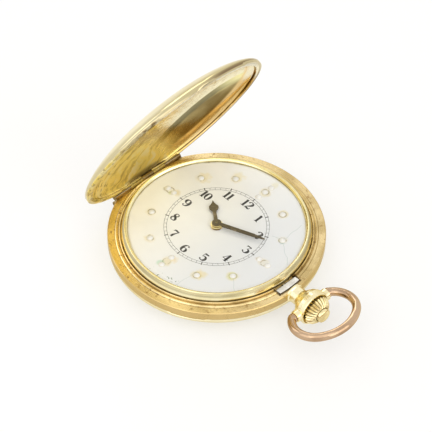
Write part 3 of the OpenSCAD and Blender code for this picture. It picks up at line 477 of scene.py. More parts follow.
@dataclass(frozen=True)
class LidOutside:
    """The cover's outer face: pale gold with painted light on one side, a painted dark reflection towards its
    edge and a painted dark line along the edge; spans in millimetres.
    """

    light: Colour = (0.90, 0.82, 0.58)
    deep: Colour = (0.60, 0.50, 0.27)
    # Painted light: a paler gold over one side of the cover.
    pale: Colour = (0.98, 0.92, 0.72)
    pale_y: Span = (4.0, -14.0)
    # Painted dark reflection: a dimmer band towards the cover's edge.
    dusk: Colour = (0.50, 0.40, 0.16)
    dusk_depth: Span = (-2.6, -1.4)
    # Painted dark reflection: a dark line along one side of the cover's edge.
    edge: Colour = (0.20, 0.12, 0.06)
    edge_depth: Span = (-1.3, -0.6)
    edge_y: Span = (-2.0, 6.0)

    def shade(self, paint: Paint, at: LidPlace) -> Term:
        """Colour of the outer face.

        Args:
            paint: the material in the making.
            at: the point of the cover.

        Returns:
            The gold with its painted light and painted dark reflections.
        """
        edge = paint.ramp(at.depth, *self.edge_depth) * paint.ramp(at.y + at.wavy, *self.edge_y)
        gold = paint.mix(self.light, self.deep, at.clouds * 0.5 + (at.brush - 0.5) * 0.5)
        pale = paint.ramp(at.y + at.clouds * 4.0, *self.pale_y)
        dusk = paint.ramp(at.depth + at.wavy * 0.6, *self.dusk_depth)
        return paint.lay(gold, (self.pale, pale * 0.7), (self.dusk, dusk * 0.6), (self.edge, edge * 0.85))


@dataclass(frozen=True)
class LidTarnish:
    """Painted reflections in the cover's hollow, laid as slanting bands; spans in millimetres."""

    lean: float = 0.075
    # Painted reflections: brown, a darker brown, a dark olive band and a pale band.
    brown_light: Colour = (0.36, 0.275, 0.105)
    brown_deep: Colour = (0.19, 0.12, 0.025)
    brown_across: Span = (4.8, 1.8)
    brown_along: Span = (6.5, 14.5)
    rust: Colour = (0.17, 0.095, 0.015)
    rust_across: Span = (1.2, -3.0)
    rust_along: Span = (6.0, 13.0)
    olive: Colour = (0.12, 0.105, 0.045)
    olive_middle: float = 2.5
    olive_half: Span = (1.9, 1.2)
    olive_start: Span = (6.5, 12.0)
    olive_end: Span = (34.0, 25.0)
    pale: Colour = (1.0, 0.96, 0.76)
    pale_across: Span = (3.8, 4.5)
    pale_along: Span = (3.0, 11.0)

    def layers(self, paint: Paint, at: LidPlace) -> list[Layer]:
        """The painted reflections as layers.

        Args:
            paint: the material in the making.
            at: the point of the cover.

        Returns:
            Colour and mask of each painted reflection, from the lowest up.
        """
        side = at.across + at.wavy
        slanted = side - at.along * self.lean
        frayed = at.along + at.wavy * 2.0 + at.soft
        brown = paint.ramp(side + at.soft * 0.3, *self.brown_across) * paint.ramp(frayed, *self.brown_along)
        rust = paint.ramp(side + at.soft * 0.4, *self.rust_across) * paint.ramp(frayed, *self.rust_along)
        olive = paint.ramp(abs(slanted - self.olive_middle), *self.olive_half)
        olive = olive * paint.ramp(at.along + at.soft, *self.olive_start)
        olive = olive * paint.ramp(at.along + at.soft * 0.5, *self.olive_end)
        pale = paint.ramp(slanted, *self.pale_across)
        pale = pale * paint.ramp(at.along + at.wavy + at.soft, *self.pale_along)
        return [(paint.mix(self.brown_light, self.brown_deep, at.clouds), brown),
                (self.rust, rust * (0.55 + 0.4 * at.clouds)),
                (self.olive, olive * 0.92),
                (self.pale, pale * 0.95)]


@dataclass(frozen=True)
class LidRim:
    """Painted reflections and highlights in rings along the rim's inside; spans in millimetres."""

    middle: float = 23.66
    far_along: Span = (6.0, 10.0)
    # Painted reflection: a copper ring on the far side.
    copper: Colour = (0.93, 0.68, 0.32)
    copper_ring: Span = (21.4, 22.2)
    # Painted highlight: a pale ring away from the hinge.
    pale: Colour = (1.0, 0.95, 0.78)
    pale_ring: Span = (22.0, 22.6)
    pale_reach: Span = (22.0, 27.0)
    # Painted dark reflection: a darker ring at the rim's edge.
    end: Colour = (0.46, 0.37, 0.17)
    end_ring: Span = (23.9, 24.3)
    # Painted dark reflection: a dark ring at the far rim.
    dirt: Colour = (0.16, 0.08, 0.04)
    dirt_ring: Span = (24.1, 24.3)
    dirt_reach: Span = (34.0, 26.0)

    def layers(self, paint: Paint, at: LidPlace) -> list[Layer]:
        """The rings as layers.

        Args:
            paint: the material in the making.
            at: the point of the cover.

        Returns:
            Colour and mask of each ring, from the lowest up.
        """
        radius = paint.length(at.y, at.reach - self.middle)
        far = paint.ramp(at.along, *self.far_along)
        pale = paint.ramp(radius, *self.pale_ring) * paint.ramp(at.reach, *self.pale_reach)
        dirt = paint.ramp(radius, *self.dirt_ring) * far * paint.ramp(at.reach, *self.dirt_reach)
        return [(self.copper, paint.ramp(radius, *self.copper_ring) * far * 0.85),
                (self.pale, pale * 0.9),
                (self.end, paint.ramp(radius, *self.end_ring) * 0.8),
                (self.dirt, dirt)]


@dataclass(frozen=True)
class LidFilm:
    """A painted yellow reflection low in the hollow, where the gold is duller, with painted bright and dark
    sheen streaks, and tarnish mottles; spans in millimetres.
    """

    # Painted reflection: the yellow that the hollow mirrors low down.
    yellow: Colour = (1.0, 0.76, 0.15)
    yellow_along: Span = (14.0, 4.0)
    # Painted highlight: bright sheen streaks; painted dark reflection: dark streaks.
    bright: Colour = (1.0, 0.90, 0.52)
    bright_smear: Span = (0.50, 0.36)
    dark: Colour = (0.34, 0.21, 0.05)
    dark_smear: Span = (0.50, 0.64)
    smear_density: Span = (0.28, 0.07)
    smear_fray: float = 0.9
    smear_slice: float = 3.0
    mottle: Colour = (0.26, 0.15, 0.05)
    mottle_scale: float = 650.0
    mottle_grain: Span = (0.51, 0.63)
    mottle_y: Span = (-4.0, -15.0)

    def mottles(self, paint: Paint, at: LidPlace) -> Term:
        """Where the gold is mottled, near the hinge's left end.

        Args:
            paint: the material in the making.
            at: the point of the cover.

        Returns:
            The mask.
        """
        grain = paint.noise(self.mottle_scale, 4.0, None, 0.7)
        near = paint.ramp(at.y + at.clouds * 5.0, *self.mottle_y)
        return paint.ramp(grain, *self.mottle_grain) * near

    def layers(self, paint: Paint, at: LidPlace, film: Term, mottle: Term) -> list[Layer]:
        """The painted yellow reflection, its painted sheen streaks and the mottles as layers.

        Args:
            paint: the material in the making.
            at: the point of the cover.
            film: where the painted yellow reflection lies.
            mottle: where it is mottled.

        Returns:
            Colour and mask of each layer, from the lowest up.
        """
        # Bright and dark painted sheen streaks.
        across = at.across * self.smear_density[0] + at.clouds * self.smear_fray
        place = paint.point(across, at.along * self.smear_density[1], self.smear_slice)
        sheen_streaks = paint.noise(1.0, 3.0, place, 0.7)
        return [(self.yellow, film * 0.85),
                (self.bright, paint.ramp(sheen_streaks, *self.bright_smear) * film * 0.75),
                (self.dark, paint.ramp(sheen_streaks, *self.dark_smear) * film * 0.6),
                (self.mottle, mottle * 0.75)]


@dataclass(frozen=True)
class Lid:
    """The front cover's finish: pale gold outside and deeper polished gold inside, with painted light and
    painted reflections on both, tarnish mottles inside and painted shade along the hinge.

    The hinge is in millimetres, the angles are in degrees.
    """

    name: str = "lid_gold"
    hinge: Spot = (-23.66, 6.9)
    lean: float = 64.8
    slant: float = 42.0
    light: Colour = (1.0, 0.94, 0.50)
    deep: Colour = (1.0, 0.80, 0.28)
    outside: LidOutside = LidOutside()
    # Painted reflections in the hollow.
    tarnish: LidTarnish = LidTarnish()
    rim: LidRim = LidRim()
    # The painted yellow reflection with its sheen streaks, and the tarnish mottles.
    film: LidFilm = LidFilm()
    # Painted shade along the hinge.
    hinge_dirt: Colour = (0.12, 0.07, 0.03)
    hinge_reach: Span = (1.4, 0.3)
    facing_span: Span = (0.02, 0.12)
    brush_density: Density = (5.0, 0.4, 0.3)
    patches: Patches = (110.0, 4.0, (0.36, 0.66))
    soft_scale: float = 90.0
    soft_width: float = 6.0
    dent_scale: float = 170.0
    relief: float = 0.03 * MM

    def place(self, paint: Paint) -> LidPlace:
        """The cover's own coordinates at rest, when it stands open, and its noises.

        Args:
            paint: the material in the making.

        Returns:
            The point that is being painted.
        """
        x, y, z = paint.axes()
        third = z - x
        x, z = x - self.hinge[0], z - self.hinge[1]
        lean, slant = math.radians(self.lean), math.radians(self.slant)
        reach = x * math.cos(lean) + z * math.sin(lean)
        across = reach * math.cos(slant) - y * math.sin(slant)
        along = y * math.cos(slant) + reach * math.sin(slant)
        return LidPlace(
            y=y, reach=reach, across=across, along=along, depth=x * math.sin(lean) - z * math.cos(lean),
            clouds=paint.clouds(self.patches),
            brush=paint.streaks((across, along, third), self.brush_density, 4.0, 0.65),
            soft=(paint.noise(self.soft_scale, 1.0) - 0.5) * self.soft_width)

    def inside(self, paint: Paint) -> Term:
        """Tells the inner face from the outer by the surface's own direction.

        Args:
            paint: the material in the making.

        Returns:
            1 on the face towards the dial, 0 on the outside.
        """
        lean = math.radians(self.lean)
        facing = (math.sin(lean), 0.0, -math.cos(lean))
        normal = paint.node("TexCoord", {}, {}, "Normal")
        turned = paint.node("VectorMath", {"operation": "DOT_PRODUCT"}, {0: normal, 1: facing}, "Value")
        return paint.ramp(turned, *self.facing_span)

    def make(self) -> bpy.types.Material:
        """Paints both faces, the painted shade along the hinge and soft dents.

        Returns:
            The material.
        """
        paint = Paint.material(self.name)
        at, inside = self.place(paint), self.inside(paint)
        # Where the painted yellow reflection lies; the gold is duller there.
        film = inside * paint.ramp(at.along + at.soft, *self.film.yellow_along)
        mottle = self.film.mottles(paint, at)
        gold = paint.mix(self.light, self.deep, at.clouds * 0.5 + (at.brush - 0.5) * 0.9)
        # Inside: painted reflections and highlights, with real tarnish mottles.
        inner = paint.lay(gold, *self.tarnish.layers(paint, at), *self.rim.layers(paint, at),
                          *self.film.layers(paint, at, film, mottle))
        # Painted shade along the hinge.
        dirt = paint.ramp(at.reach + at.wavy * 0.5, *self.hinge_reach) * 0.7
        shade = paint.lay(self.outside.shade(paint, at), (inner, inside), (self.hinge_dirt, dirt))
        paint.bump(paint.noise(self.dent_scale, 1.0) * 0.8 + at.brush * 0.25, self.relief)
        rough = 0.07 + 0.08 * paint.ramp(at.brush, 0.35, 0.75) + mottle * inside * 0.2 + film * 0.22
        return paint.finish(Base_Color=shade, Roughness=rough, Metallic=1.0 - film * 0.6,
                            Specular_Tint=LID_GRAZE)


@dataclass(frozen=True)
class FlutedGold:
    """The crown's gold, darker between the flutes and round the button; sizes in millimetres."""

    name: str = "crown_gold"
    light: Colour = (0.93, 0.80, 0.46)
    deep: Colour = (0.62, 0.45, 0.17)
    # Colour of the darkening between the flutes and round the button.
    grime: Colour = (0.10, 0.07, 0.025)
    axis: float = 6.3
    front: float = 33.9
    flutes: int = 24
    button: float = 1.76
    button_line: Span = (0.14, 0.05)
    valley_from: Span = (1.8, 2.3)
    patches: Patches = (600.0, 3.0, (0.36, 0.66))
    relief: float = 0.03 * MM

    def make(self) -> bpy.types.Material:
        """Paints the crown, dark where it lies deep.

        Returns:
            The material.
        """
        paint = Paint.material(self.name)
        x, y, z = paint.axes()
        z = z - self.axis
        radius = paint.length(y, z)
        clouds = paint.clouds(self.patches)
        turn = paint.maths("ARCTAN2", z, y)
        valley = paint.ramp(paint.maths("COSINE", turn * self.flutes), 0.0, 0.9)
        deep = valley * (x < self.front) * paint.ramp(radius, *self.valley_from)
        ring = paint.ramp(abs(radius - self.button), *self.button_line) * (x < self.front + 0.1)
        # Darker between the flutes and round the button.
        dirt = paint.maths("MAXIMUM", deep * 0.8, ring)
        shade = paint.lay(self.light, (self.deep, clouds * 0.6), (self.grime, dirt * 0.85))
        paint.bump(clouds, self.relief)
        rough = 0.16 + dirt * 0.4 + clouds * 0.08
        return paint.finish(Base_Color=shade, Roughness=rough, Metallic=1.0, Specular_Tint=GRAZE)


@dataclass(frozen=True)
class Steel:
    """A plain metal with fine grain: nickel, steel, brass or blued steel."""

    name: str
    light: Colour
    deep: Colour
    gloss: float = 0.22
    grain_density: Density = (2.0, 26.0, 26.0)
    patches: Patches = (420.0, 3.0, (0.35, 0.7))
    specks: Patches = (2600.0, 1.0, (0.74, 0.8))
    relief: float = 0.008 * MM

    def make(self) -> bpy.types.Material:
        """Paints brushed grain, faint clouds and a few dark specks.

        Returns:
            The material.
        """
        paint = Paint.material(self.name)
        x, y, z = paint.axes()
        grain = paint.streaks((x, y, z), self.grain_density, 3.0, 0.6)
        clouds = paint.clouds(self.patches)
        specks = paint.clouds(self.specks)
        dark = tuple(part * 0.5 for part in self.deep)
        shade = paint.lay(self.light, (self.deep, clouds * 0.6 + (grain - 0.5) * 0.5), (dark, specks * 0.5))
        paint.bump(grain, self.relief)
        return paint.finish(Base_Color=shade, Roughness=self.gloss + grain * 0.12, Metallic=1.0)


@dataclass(frozen=True)
class Wheel:
    """Brass or steel wheels with circular graining round their own arbor."""

    name: str
    light: Colour
    deep: Colour
    centre: Spot
    gloss: float = 0.2
    tip: Colour = (0.20, 0.17, 0.10)
    tip_above: float = 9.3
    ring_density: Density = (22.0, 0.3, 4.0)
    patches: Patches = (500.0, 3.0, (0.4, 0.7))
    relief: float = 0.012 * MM

    def make(self) -> bpy.types.Material:
        """Paints turned rings round the arbor, thin tarnish and a dark arbor tip.

        Returns:
            The material.
        """
        paint = Paint.material(self.name)
        radius, angle, height = paint.polar(self.centre)
        rings = paint.streaks((radius, angle, height), self.ring_density, 2.0, 0.6)
        clouds = paint.clouds(self.patches)
        tarnish = clouds * 0.5 + (rings - 0.5) * 0.6
        shade = paint.lay(self.light, (self.deep, tarnish), (self.tip, height > self.tip_above))
        paint.bump(rings, self.relief)
        return paint.finish(Base_Color=shade, Roughness=self.gloss + rings * 0.14, Metallic=1.0)


@dataclass(frozen=True)
class StripedNickel:
    """Nickel plates with straight polished stripes; pitch in millimetres, turn in radians."""

    name: str
    light: Colour
    deep: Colour
    pitch: float = 1.6
    turn: float = 0.6
    grain_density: Density = (3.0, 30.0, 30.0)
    patches: Patches = (260.0, 3.0, (0.35, 0.7))
    relief: float = 0.04 * MM

    def make(self) -> bpy.types.Material:
        """Paints rounded stripes, fine cross grain and faint clouds.

        Returns:
            The material.
        """
        paint = Paint.material(self.name)
        x, y, z = paint.axes()
        across = x * math.cos(self.turn) + y * math.sin(self.turn)
        along = y * math.cos(self.turn) - x * math.sin(self.turn)
        stripe = abs(paint.maths("SINE", across * (math.pi / self.pitch)))
        grain = paint.streaks((across, along, z), self.grain_density, 2.0, 0.6)
        clouds = paint.clouds(self.patches)
        shade = paint.lay(self.deep, (self.light, stripe * 0.7 + grain * 0.3), (self.deep, clouds * 0.3))
        paint.bump(stripe * 0.8 + grain * 0.2, self.relief)
        return paint.finish(Base_Color=shade, Roughness=0.24 + grain * 0.12, Metallic=1.0)


@dataclass(frozen=True)
class Ruby:
    """Polished synthetic ruby for the bearing stones."""

    name: str = "ruby_stone"
    clear: Colour = (0.62, 0.02, 0.06)
    veil: Colour = (0.32, 0.004, 0.02)
    veils: Patches = (1800.0, 2.0, (0.3, 0.75))
    bending: float = 1.76

    def make(self) -> bpy.types.Material:
        """Paints clear pinkish red with darker veils inside.

        Returns:
            The material.
        """
        paint = Paint.material(self.name)
        veils = paint.clouds(self.veils)
        shade = paint.mix(self.clear, self.veil, veils)
        return paint.finish(Base_Color=shade, Roughness=0.08 + veils * 0.05, Metallic=0.0, IOR=self.bending)


@dataclass(frozen=True)
class Crack:
    """A hairline crack in the enamel, from start to end; millimetres on the dial."""

    start: Spot
    end: Spot
    half: float = 0.1
    waver: float = 1.1
    waver_scale: float = 330.0

    def mask(self, paint: Paint) -> Term:
        """Where the wavering line runs.

        Args:
            paint: the material in the making.

        Returns:
            1 on the line, 0 off it.
        """
        x, y, _ = paint.axes()
        x, y = x - self.start[0], y - self.start[1]
        length = math.dist(self.start, self.end)
        way = ((self.end[0] - self.start[0]) / length, (self.end[1] - self.start[1]) / length)
        along = x * way[0] + y * way[1]
        across = y * way[0] - x * way[1] + (paint.noise(self.waver_scale, 2.0) - 0.5) * self.waver
        return paint.ramp(abs(across), self.half, self.half * 0.3) * (along > 0.0) * (along < length)


STAIN_GRAIN = 700.0
STAIN_FRAY = 1.3


class Stain(Enum):
    """Stains on the dial that stand out: place and radius in millimetres, colour and strength."""

    YELLOW_LOW = ((8.3, -12.7), 1.9, (0.84, 0.70, 0.30), 0.5)
    YELLOW_UP = ((-7.9, 14.4), 2.0, (0.86, 0.76, 0.42), 0.5)
    YELLOW_LEFT = ((-12.9, 8.6), 2.1, (0.88, 0.76, 0.42), 0.5)
    OCHRE_LEFT = ((-13.9, 0.4), 1.3, (0.72, 0.56, 0.18), 0.55)
    DARK_LEFT = ((-16.6, -0.5), 0.9, (0.30, 0.24, 0.10), 0.55)
    GREEN_LEFT = ((-14.8, -0.4), 0.8, (0.62, 0.68, 0.36), 0.5)
    GREEN_RIGHT = ((13.3, -7.9), 1.5, (0.62, 0.68, 0.24), 0.6)
    GREEN_FOOT = ((-0.5, -17.0), 1.3, (0.34, 0.62, 0.40), 0.5)
    YELLOW_FOOT = ((0.8, -13.9), 1.3, (0.80, 0.60, 0.20), 0.5)
    BLUE_RIGHT = ((13.9, 7.3), 0.9, (0.38, 0.56, 0.58), 0.45)
    YELLOW_TOP = ((-0.2, 18.6), 1.3, (0.78, 0.72, 0.40), 0.4)
    PINK_RIGHT = ((14.0, -0.2), 1.1, (0.84, 0.62, 0.42), 0.4)

    def over(self, paint: Paint, shade: Term) -> Term:
        """Lays this ragged stain on the dial.

        Args:
            paint: the material in the making.
            shade: the dial's colour.

        Returns:
            The stained colour.
        """
        at, size, tint, strength = self.value
        x, y, _ = paint.axes()
        fray = (paint.noise(STAIN_GRAIN, 2.0) - 0.5) * size * STAIN_FRAY
        reach = paint.length(x - at[0], y - at[1]) + fray
        return paint.mix(shade, tint, paint.ramp(reach, size, size * 0.3) * strength)


@dataclass(frozen=True)
class Enamel:
    """The white dial enamel with its stains, cracks and specks; sizes in millimetres.

    Specks lie below the first value of specked, outside its second and right of its third.
    """

    name: str = "dial_enamel"
    white: Colour = (0.79, 0.81, 0.83)
    # Painted light: a brighter cream on the dial's left.
    cream: Colour = (0.945, 0.94, 0.90)
    grey: Colour = (0.78, 0.78, 0.76)
    stain: Colour = (0.76, 0.64, 0.32)
    # Ring at each touch point's foot: dirt and painted shadow.
    foot: Colour = (0.34, 0.30, 0.18)
    crack: Colour = (0.42, 0.52, 0.5)
    speck: Colour = (0.12, 0.2, 0.1)
    grime: Colour = (0.55, 0.45, 0.22)
    ring: float = 15.55
    cream_x: Span = (12.0, -15.0)
    grey_patches: Patches = (180.0, 4.0, (0.4, 0.75))
    halo: Span = (1.7, 0.7)
    halo_grain: float = 520.0
    halo_fray: float = 1.8
    uneven: Patches = (70.0, 1.0, (0.36, 0.62))
    point_edge: float = 0.84
    foot_line: Span = (0.2, 0.04)
    foot_patches: Patches = (900.0, 2.0, (0.36, 0.56))
    grime_ring: Span = (20.3, 21.0)
    grime_grain: float = 300.0
    grime_fray: float = 0.8
    specks: Patches = (2100.0, 1.0, (0.66, 0.72))
    specked: tuple[float, float, float] = (-17.2, 18.6, -1.0)
    cracks: tuple[Crack, ...] = (
        Crack((13.6, 8.0), (13.2, 14.2)), Crack((14.0, 7.4), (19.6, 3.4)),
        Crack((13.9, -8.0), (17.2, -11.0), 0.09), Crack((10.8, 7.2), (13.0, 7.9)),
        Crack((7.0, -13.4), (6.6, -19.0), 0.07))
    relief: float = 0.03 * MM

    def from_point(self, paint: Paint, radius: Term, angle: Term) -> Term:
        """Finds the nearest of the twelve raised points of the ring.

        Args:
            paint: the material in the making.
            radius: distance from the dial's middle in millimetres.
            angle: angle round it in radians.

        Returns:
            The distance to that point's middle in millimetres.
        """
        step = paint.maths("WRAP", angle, math.pi / 12, -math.pi / 12)
        square = radius * radius + self.ring ** 2 - radius * paint.maths("COSINE", step) * (2 * self.ring)
        return paint.maths("SQRT", square)

    def make(self) -> bpy.types.Material:
        """Paints the enamel with its stains in place on the dial at rest, with painted light on the left and
        a ring of dirt and painted shadow at each point's foot.

        Returns:
            The material.
        """
        paint = Paint.material(self.name)
        radius, angle, _ = paint.polar()
        x, y, _ = paint.axes()
        reach = self.from_point(paint, radius, angle)
        halo = paint.ramp(reach + (paint.noise(self.halo_grain, 3.0) - 0.5) * self.halo_fray, *self.halo)
        # Ring of dirt and painted shadow at each point's foot.
        foot = paint.ramp(abs(reach - self.point_edge), *self.foot_line)
        foot = foot * paint.clouds(self.foot_patches)
        uneven = paint.clouds(self.uneven)
        # Creamier to the left as painted light.
        shade = paint.lay(
            self.white, (self.cream, paint.ramp(x - y * 0.1, *self.cream_x)),
            (self.grey, paint.clouds(self.grey_patches) * 0.25),
            (self.stain, halo * (0.15 + 0.42 * uneven)), (self.foot, foot * 0.85))
        for stain in Stain:
            shade = stain.over(paint, shade)
        cracks = 0.0
        for crack in self.cracks:
            cracks = cracks + crack.mask(paint)
        low, out, left = self.specked
        specks = paint.clouds(self.specks) * (radius > out) * (y < low) * (x > left)
        frayed = radius + paint.noise(self.grime_grain, 2.0) * self.grime_fray
        grime = paint.ramp(frayed, *self.grime_ring)
        shade = paint.lay(
            shade, (self.crack, cracks * 0.55), (self.speck, specks * 0.8), (self.grime, grime * 0.6))
        paint.bump(paint.noise(240.0, 2.0) * 0.6 + cracks * 0.4, self.relief)
        return paint.finish(Base_Color=shade, Roughness=0.3 + halo * 0.15, Metallic=0.0, Coat_Weight=0.35,
                            Coat_Roughness=0.12)


@dataclass(frozen=True)
class PointEnamel:
    """The raised touch points: the dial's white with a little dirt at the foot."""

    name: str = "point_enamel"
    white: Colour = (0.85, 0.845, 0.82)
    dirt: Colour = (0.70, 0.58, 0.30)
    foot: Span = (8.6, 8.44)
    foot_grain: float = 900.0
    foot_fray: float = 0.12

    def make(self) -> bpy.types.Material:
        """Paints white domes, yellowed towards the dial.

        Returns:
            The material.
        """
        paint = Paint.material(self.name)
        _, _, z = paint.axes()
        foot = paint.ramp(z + paint.noise(self.foot_grain, 2.0) * self.foot_fray, *self.foot)
        shade = paint.mix(self.white, self.dirt, foot * 0.6)
        return paint.finish(Base_Color=shade, Roughness=0.22 + foot * 0.2, Metallic=0.0, Coat_Weight=0.4,
                            Coat_Roughness=0.1)


@dataclass(frozen=True)
class Ink:
    """Black print on the dial, a little worn."""

    name: str = "dial_ink"
    black: Colour = (0.035, 0.034, 0.034)
    rubbed: Colour = (0.22, 0.21, 0.2)
    worn: Patches = (1500.0, 3.0, (0.5, 0.75))

    def make(self) -> bpy.types.Material:
        """Paints near black with grey worn patches.

        Returns:
            The material.
        """
        paint = Paint.material(self.name)
        worn = paint.clouds(self.worn)
        shade = paint.mix(self.black, self.rubbed, worn * 0.6)
        return paint.finish(Base_Color=shade, Roughness=0.45 + worn * 0.2, Metallic=0.0)


@dataclass(frozen=True)
class Bronzed:
    """Dark brown-grey hands on a brass collar; sizes in millimetres."""

    name: str = "hand_bronzed"
    brown: Colour = (0.12, 0.1, 0.065)
    rubbed: Colour = (0.26, 0.21, 0.13)
    brass: Colour = (0.88, 0.77, 0.45)
    hour_level: float = 9.14
    minute_level: float = 9.44
    hub: float = 1.05
    collar: Span = (1.55, 1.42)
    rubs: Patches = (700.0, 3.0, (0.5, 0.72))

    def make(self) -> bpy.types.Material:
        """Paints bronzed steel, with brass low at the middle.

        Returns:
            The material.
        """
        paint = Paint.material(self.name)
        radius, _, height = paint.polar()
        rubbed = paint.clouds(self.rubs)
        outer = (height < self.minute_level) * (radius > self.hub)
        brass = paint.ramp(radius, *self.collar) * paint.maths("MAXIMUM", height < self.hour_level, outer)
        shade = paint.lay(self.brown, (self.rubbed, rubbed), (self.brass, brass))
        return paint.finish(Base_Color=shade, Roughness=0.34 + rubbed * 0.15, Metallic=0.75 + brass * 0.2)


class Glyph(Enum):
    """The numerals' strokes, points (across, up, half width) on a height of 1, and their share of width."""

    ONE = ([
        [(0, 0.02, 0.085), (0, 0.98, 0.085)],
        [(-0.16, 0.84, 0.02), (-0.02, 0.97, 0.03)],
        [(-0.2, 0.015, 0.018), (0.2, 0.015, 0.018)]], 0.42)
    TWO = ([
        [(-0.22, 0.74, 0.07), (-0.19, 0.87, 0.04), (-0.02, 0.975, 0.03), (0.17, 0.85, 0.075),
         (0.2, 0.7, 0.095), (0.1, 0.5, 0.07), (-0.08, 0.3, 0.035), (-0.24, 0.08, 0.03)],
        [(-0.25, 0.07, 0.03), (-0.05, 0.09, 0.07), (0.14, 0.05, 0.06), (0.24, 0.1, 0.035),
         (0.27, 0.24, 0.018)]], 0.62)
    THREE = ([
        [(-0.24, 0.94, 0.045), (0.22, 0.94, 0.045)],
        [(-0.24, 0.95, 0.02), (-0.25, 0.78, 0.018)],
        [(0.22, 0.93, 0.02), (0.0, 0.6, 0.02)],
        [(-0.05, 0.56, 0.02), (0.1, 0.57, 0.04), (0.24, 0.42, 0.085), (0.24, 0.22, 0.095),
         (0.1, 0.04, 0.05), (-0.06, 0.02, 0.03), (-0.2, 0.1, 0.045), (-0.22, 0.2, 0.07)]], 0.62)
    FOUR = ([
        [(0.06, 0.97, 0.02), (-0.3, 0.28, 0.02)],
        [(-0.31, 0.27, 0.026), (0.28, 0.27, 0.026)],
        [(0.1, 0.98, 0.085), (0.1, 0.02, 0.085)],
        [(-0.08, 0.015, 0.018), (0.27, 0.015, 0.018)]], 0.64)
    FIVE = ([
        [(-0.2, 0.93, 0.055), (0.0, 0.93, 0.06), (0.23, 0.95, 0.04)],
        [(-0.2, 0.95, 0.02), (-0.21, 0.5, 0.018)],
        [(-0.21, 0.5, 0.02), (-0.04, 0.61, 0.035), (0.16, 0.55, 0.07), (0.25, 0.34, 0.095),
         (0.18, 0.12, 0.075), (0.0, 0.02, 0.03), (-0.18, 0.08, 0.045), (-0.21, 0.18, 0.07)]], 0.6)
    SIX = ([
        [(0.2, 0.82, 0.065), (0.14, 0.94, 0.035), (0.02, 0.975, 0.028), (-0.15, 0.83, 0.06),
         (-0.24, 0.5, 0.09), (-0.2, 0.2, 0.085), (-0.06, 0.03, 0.035), (0.08, 0.03, 0.035),
         (0.22, 0.18, 0.08), (0.23, 0.38, 0.085), (0.1, 0.55, 0.035), (-0.04, 0.55, 0.025),
         (-0.17, 0.42, 0.025)]], 0.6)
    SEVEN = ([
        [(-0.24, 0.9, 0.04), (-0.06, 0.93, 0.065), (0.12, 0.9, 0.05), (0.26, 0.96, 0.03)],
        [(-0.25, 0.97, 0.018), (-0.26, 0.72, 0.018)],
        [(0.26, 0.95, 0.022), (0.1, 0.6, 0.045), (0.0, 0.3, 0.08), (-0.02, 0.02, 0.085)]], 0.6)
    EIGHT = ([
        [(-0.19, 0.77, 0.06), (-0.1, 0.93, 0.035), (0.02, 0.975, 0.025), (0.16, 0.9, 0.04),
         (0.17, 0.74, 0.04), (0.06, 0.62, 0.04), (-0.16, 0.44, 0.045), (-0.24, 0.25, 0.055),
         (-0.16, 0.07, 0.045), (0.0, 0.02, 0.028), (0.18, 0.08, 0.05), (0.22, 0.26, 0.08),
         (0.08, 0.46, 0.085), (-0.12, 0.6, 0.085), (-0.19, 0.77, 0.06)]], 0.6)
    ZERO = ([
        [(0.0, 0.975, 0.028), (0.17, 0.83, 0.06), (0.22, 0.5, 0.09), (0.17, 0.17, 0.06),
         (0.0, 0.025, 0.028), (-0.17, 0.17, 0.06), (-0.22, 0.5, 0.09), (-0.17, 0.83, 0.06),
         (0.0, 0.975, 0.028)]], 0.6)

    @classmethod
    def of(cls, digit: str) -> tuple[list[Stroke], float]:
        """Finds a digit's strokes; a nine is the six upside down.

        Args:
            digit: 0 to 9.

        Returns:
            The strokes, and the digit's width with its space.
        """
        strokes, advance = dict(zip("123456780", cls))["6" if digit == "9" else digit].value
        if digit == "9":
            strokes = [[(-x, 1 - y, w) for x, y, w in stroke] for stroke in strokes]
        return strokes, advance


def add_object(name: str, data: bpy.types.ID) -> bpy.types.Object:
    """Makes an object and links it to the scene.

    Args:
        name: the object's name.
        data: its mesh, lamp or camera.

    Returns:
        The object.
    """
    made = bpy.data.objects.new(name, data)
    bpy.context.scene.collection.objects.link(made)
    return made


def mesh_object(name: str, mesh: bmesh.types.BMesh, material: bpy.types.Material) -> bpy.types.Object:
    """Ends a mesh under construction as a named object.

    Args:
        name: the piece's name.
        mesh: the mesh under construction; it is freed.
        material: the piece's finish.

    Returns:
        The piece.
    """
    data = bpy.data.meshes.new(name)
    mesh.to_mesh(data)
    mesh.free()
    data.materials.append(material)
    return add_object(name, data)


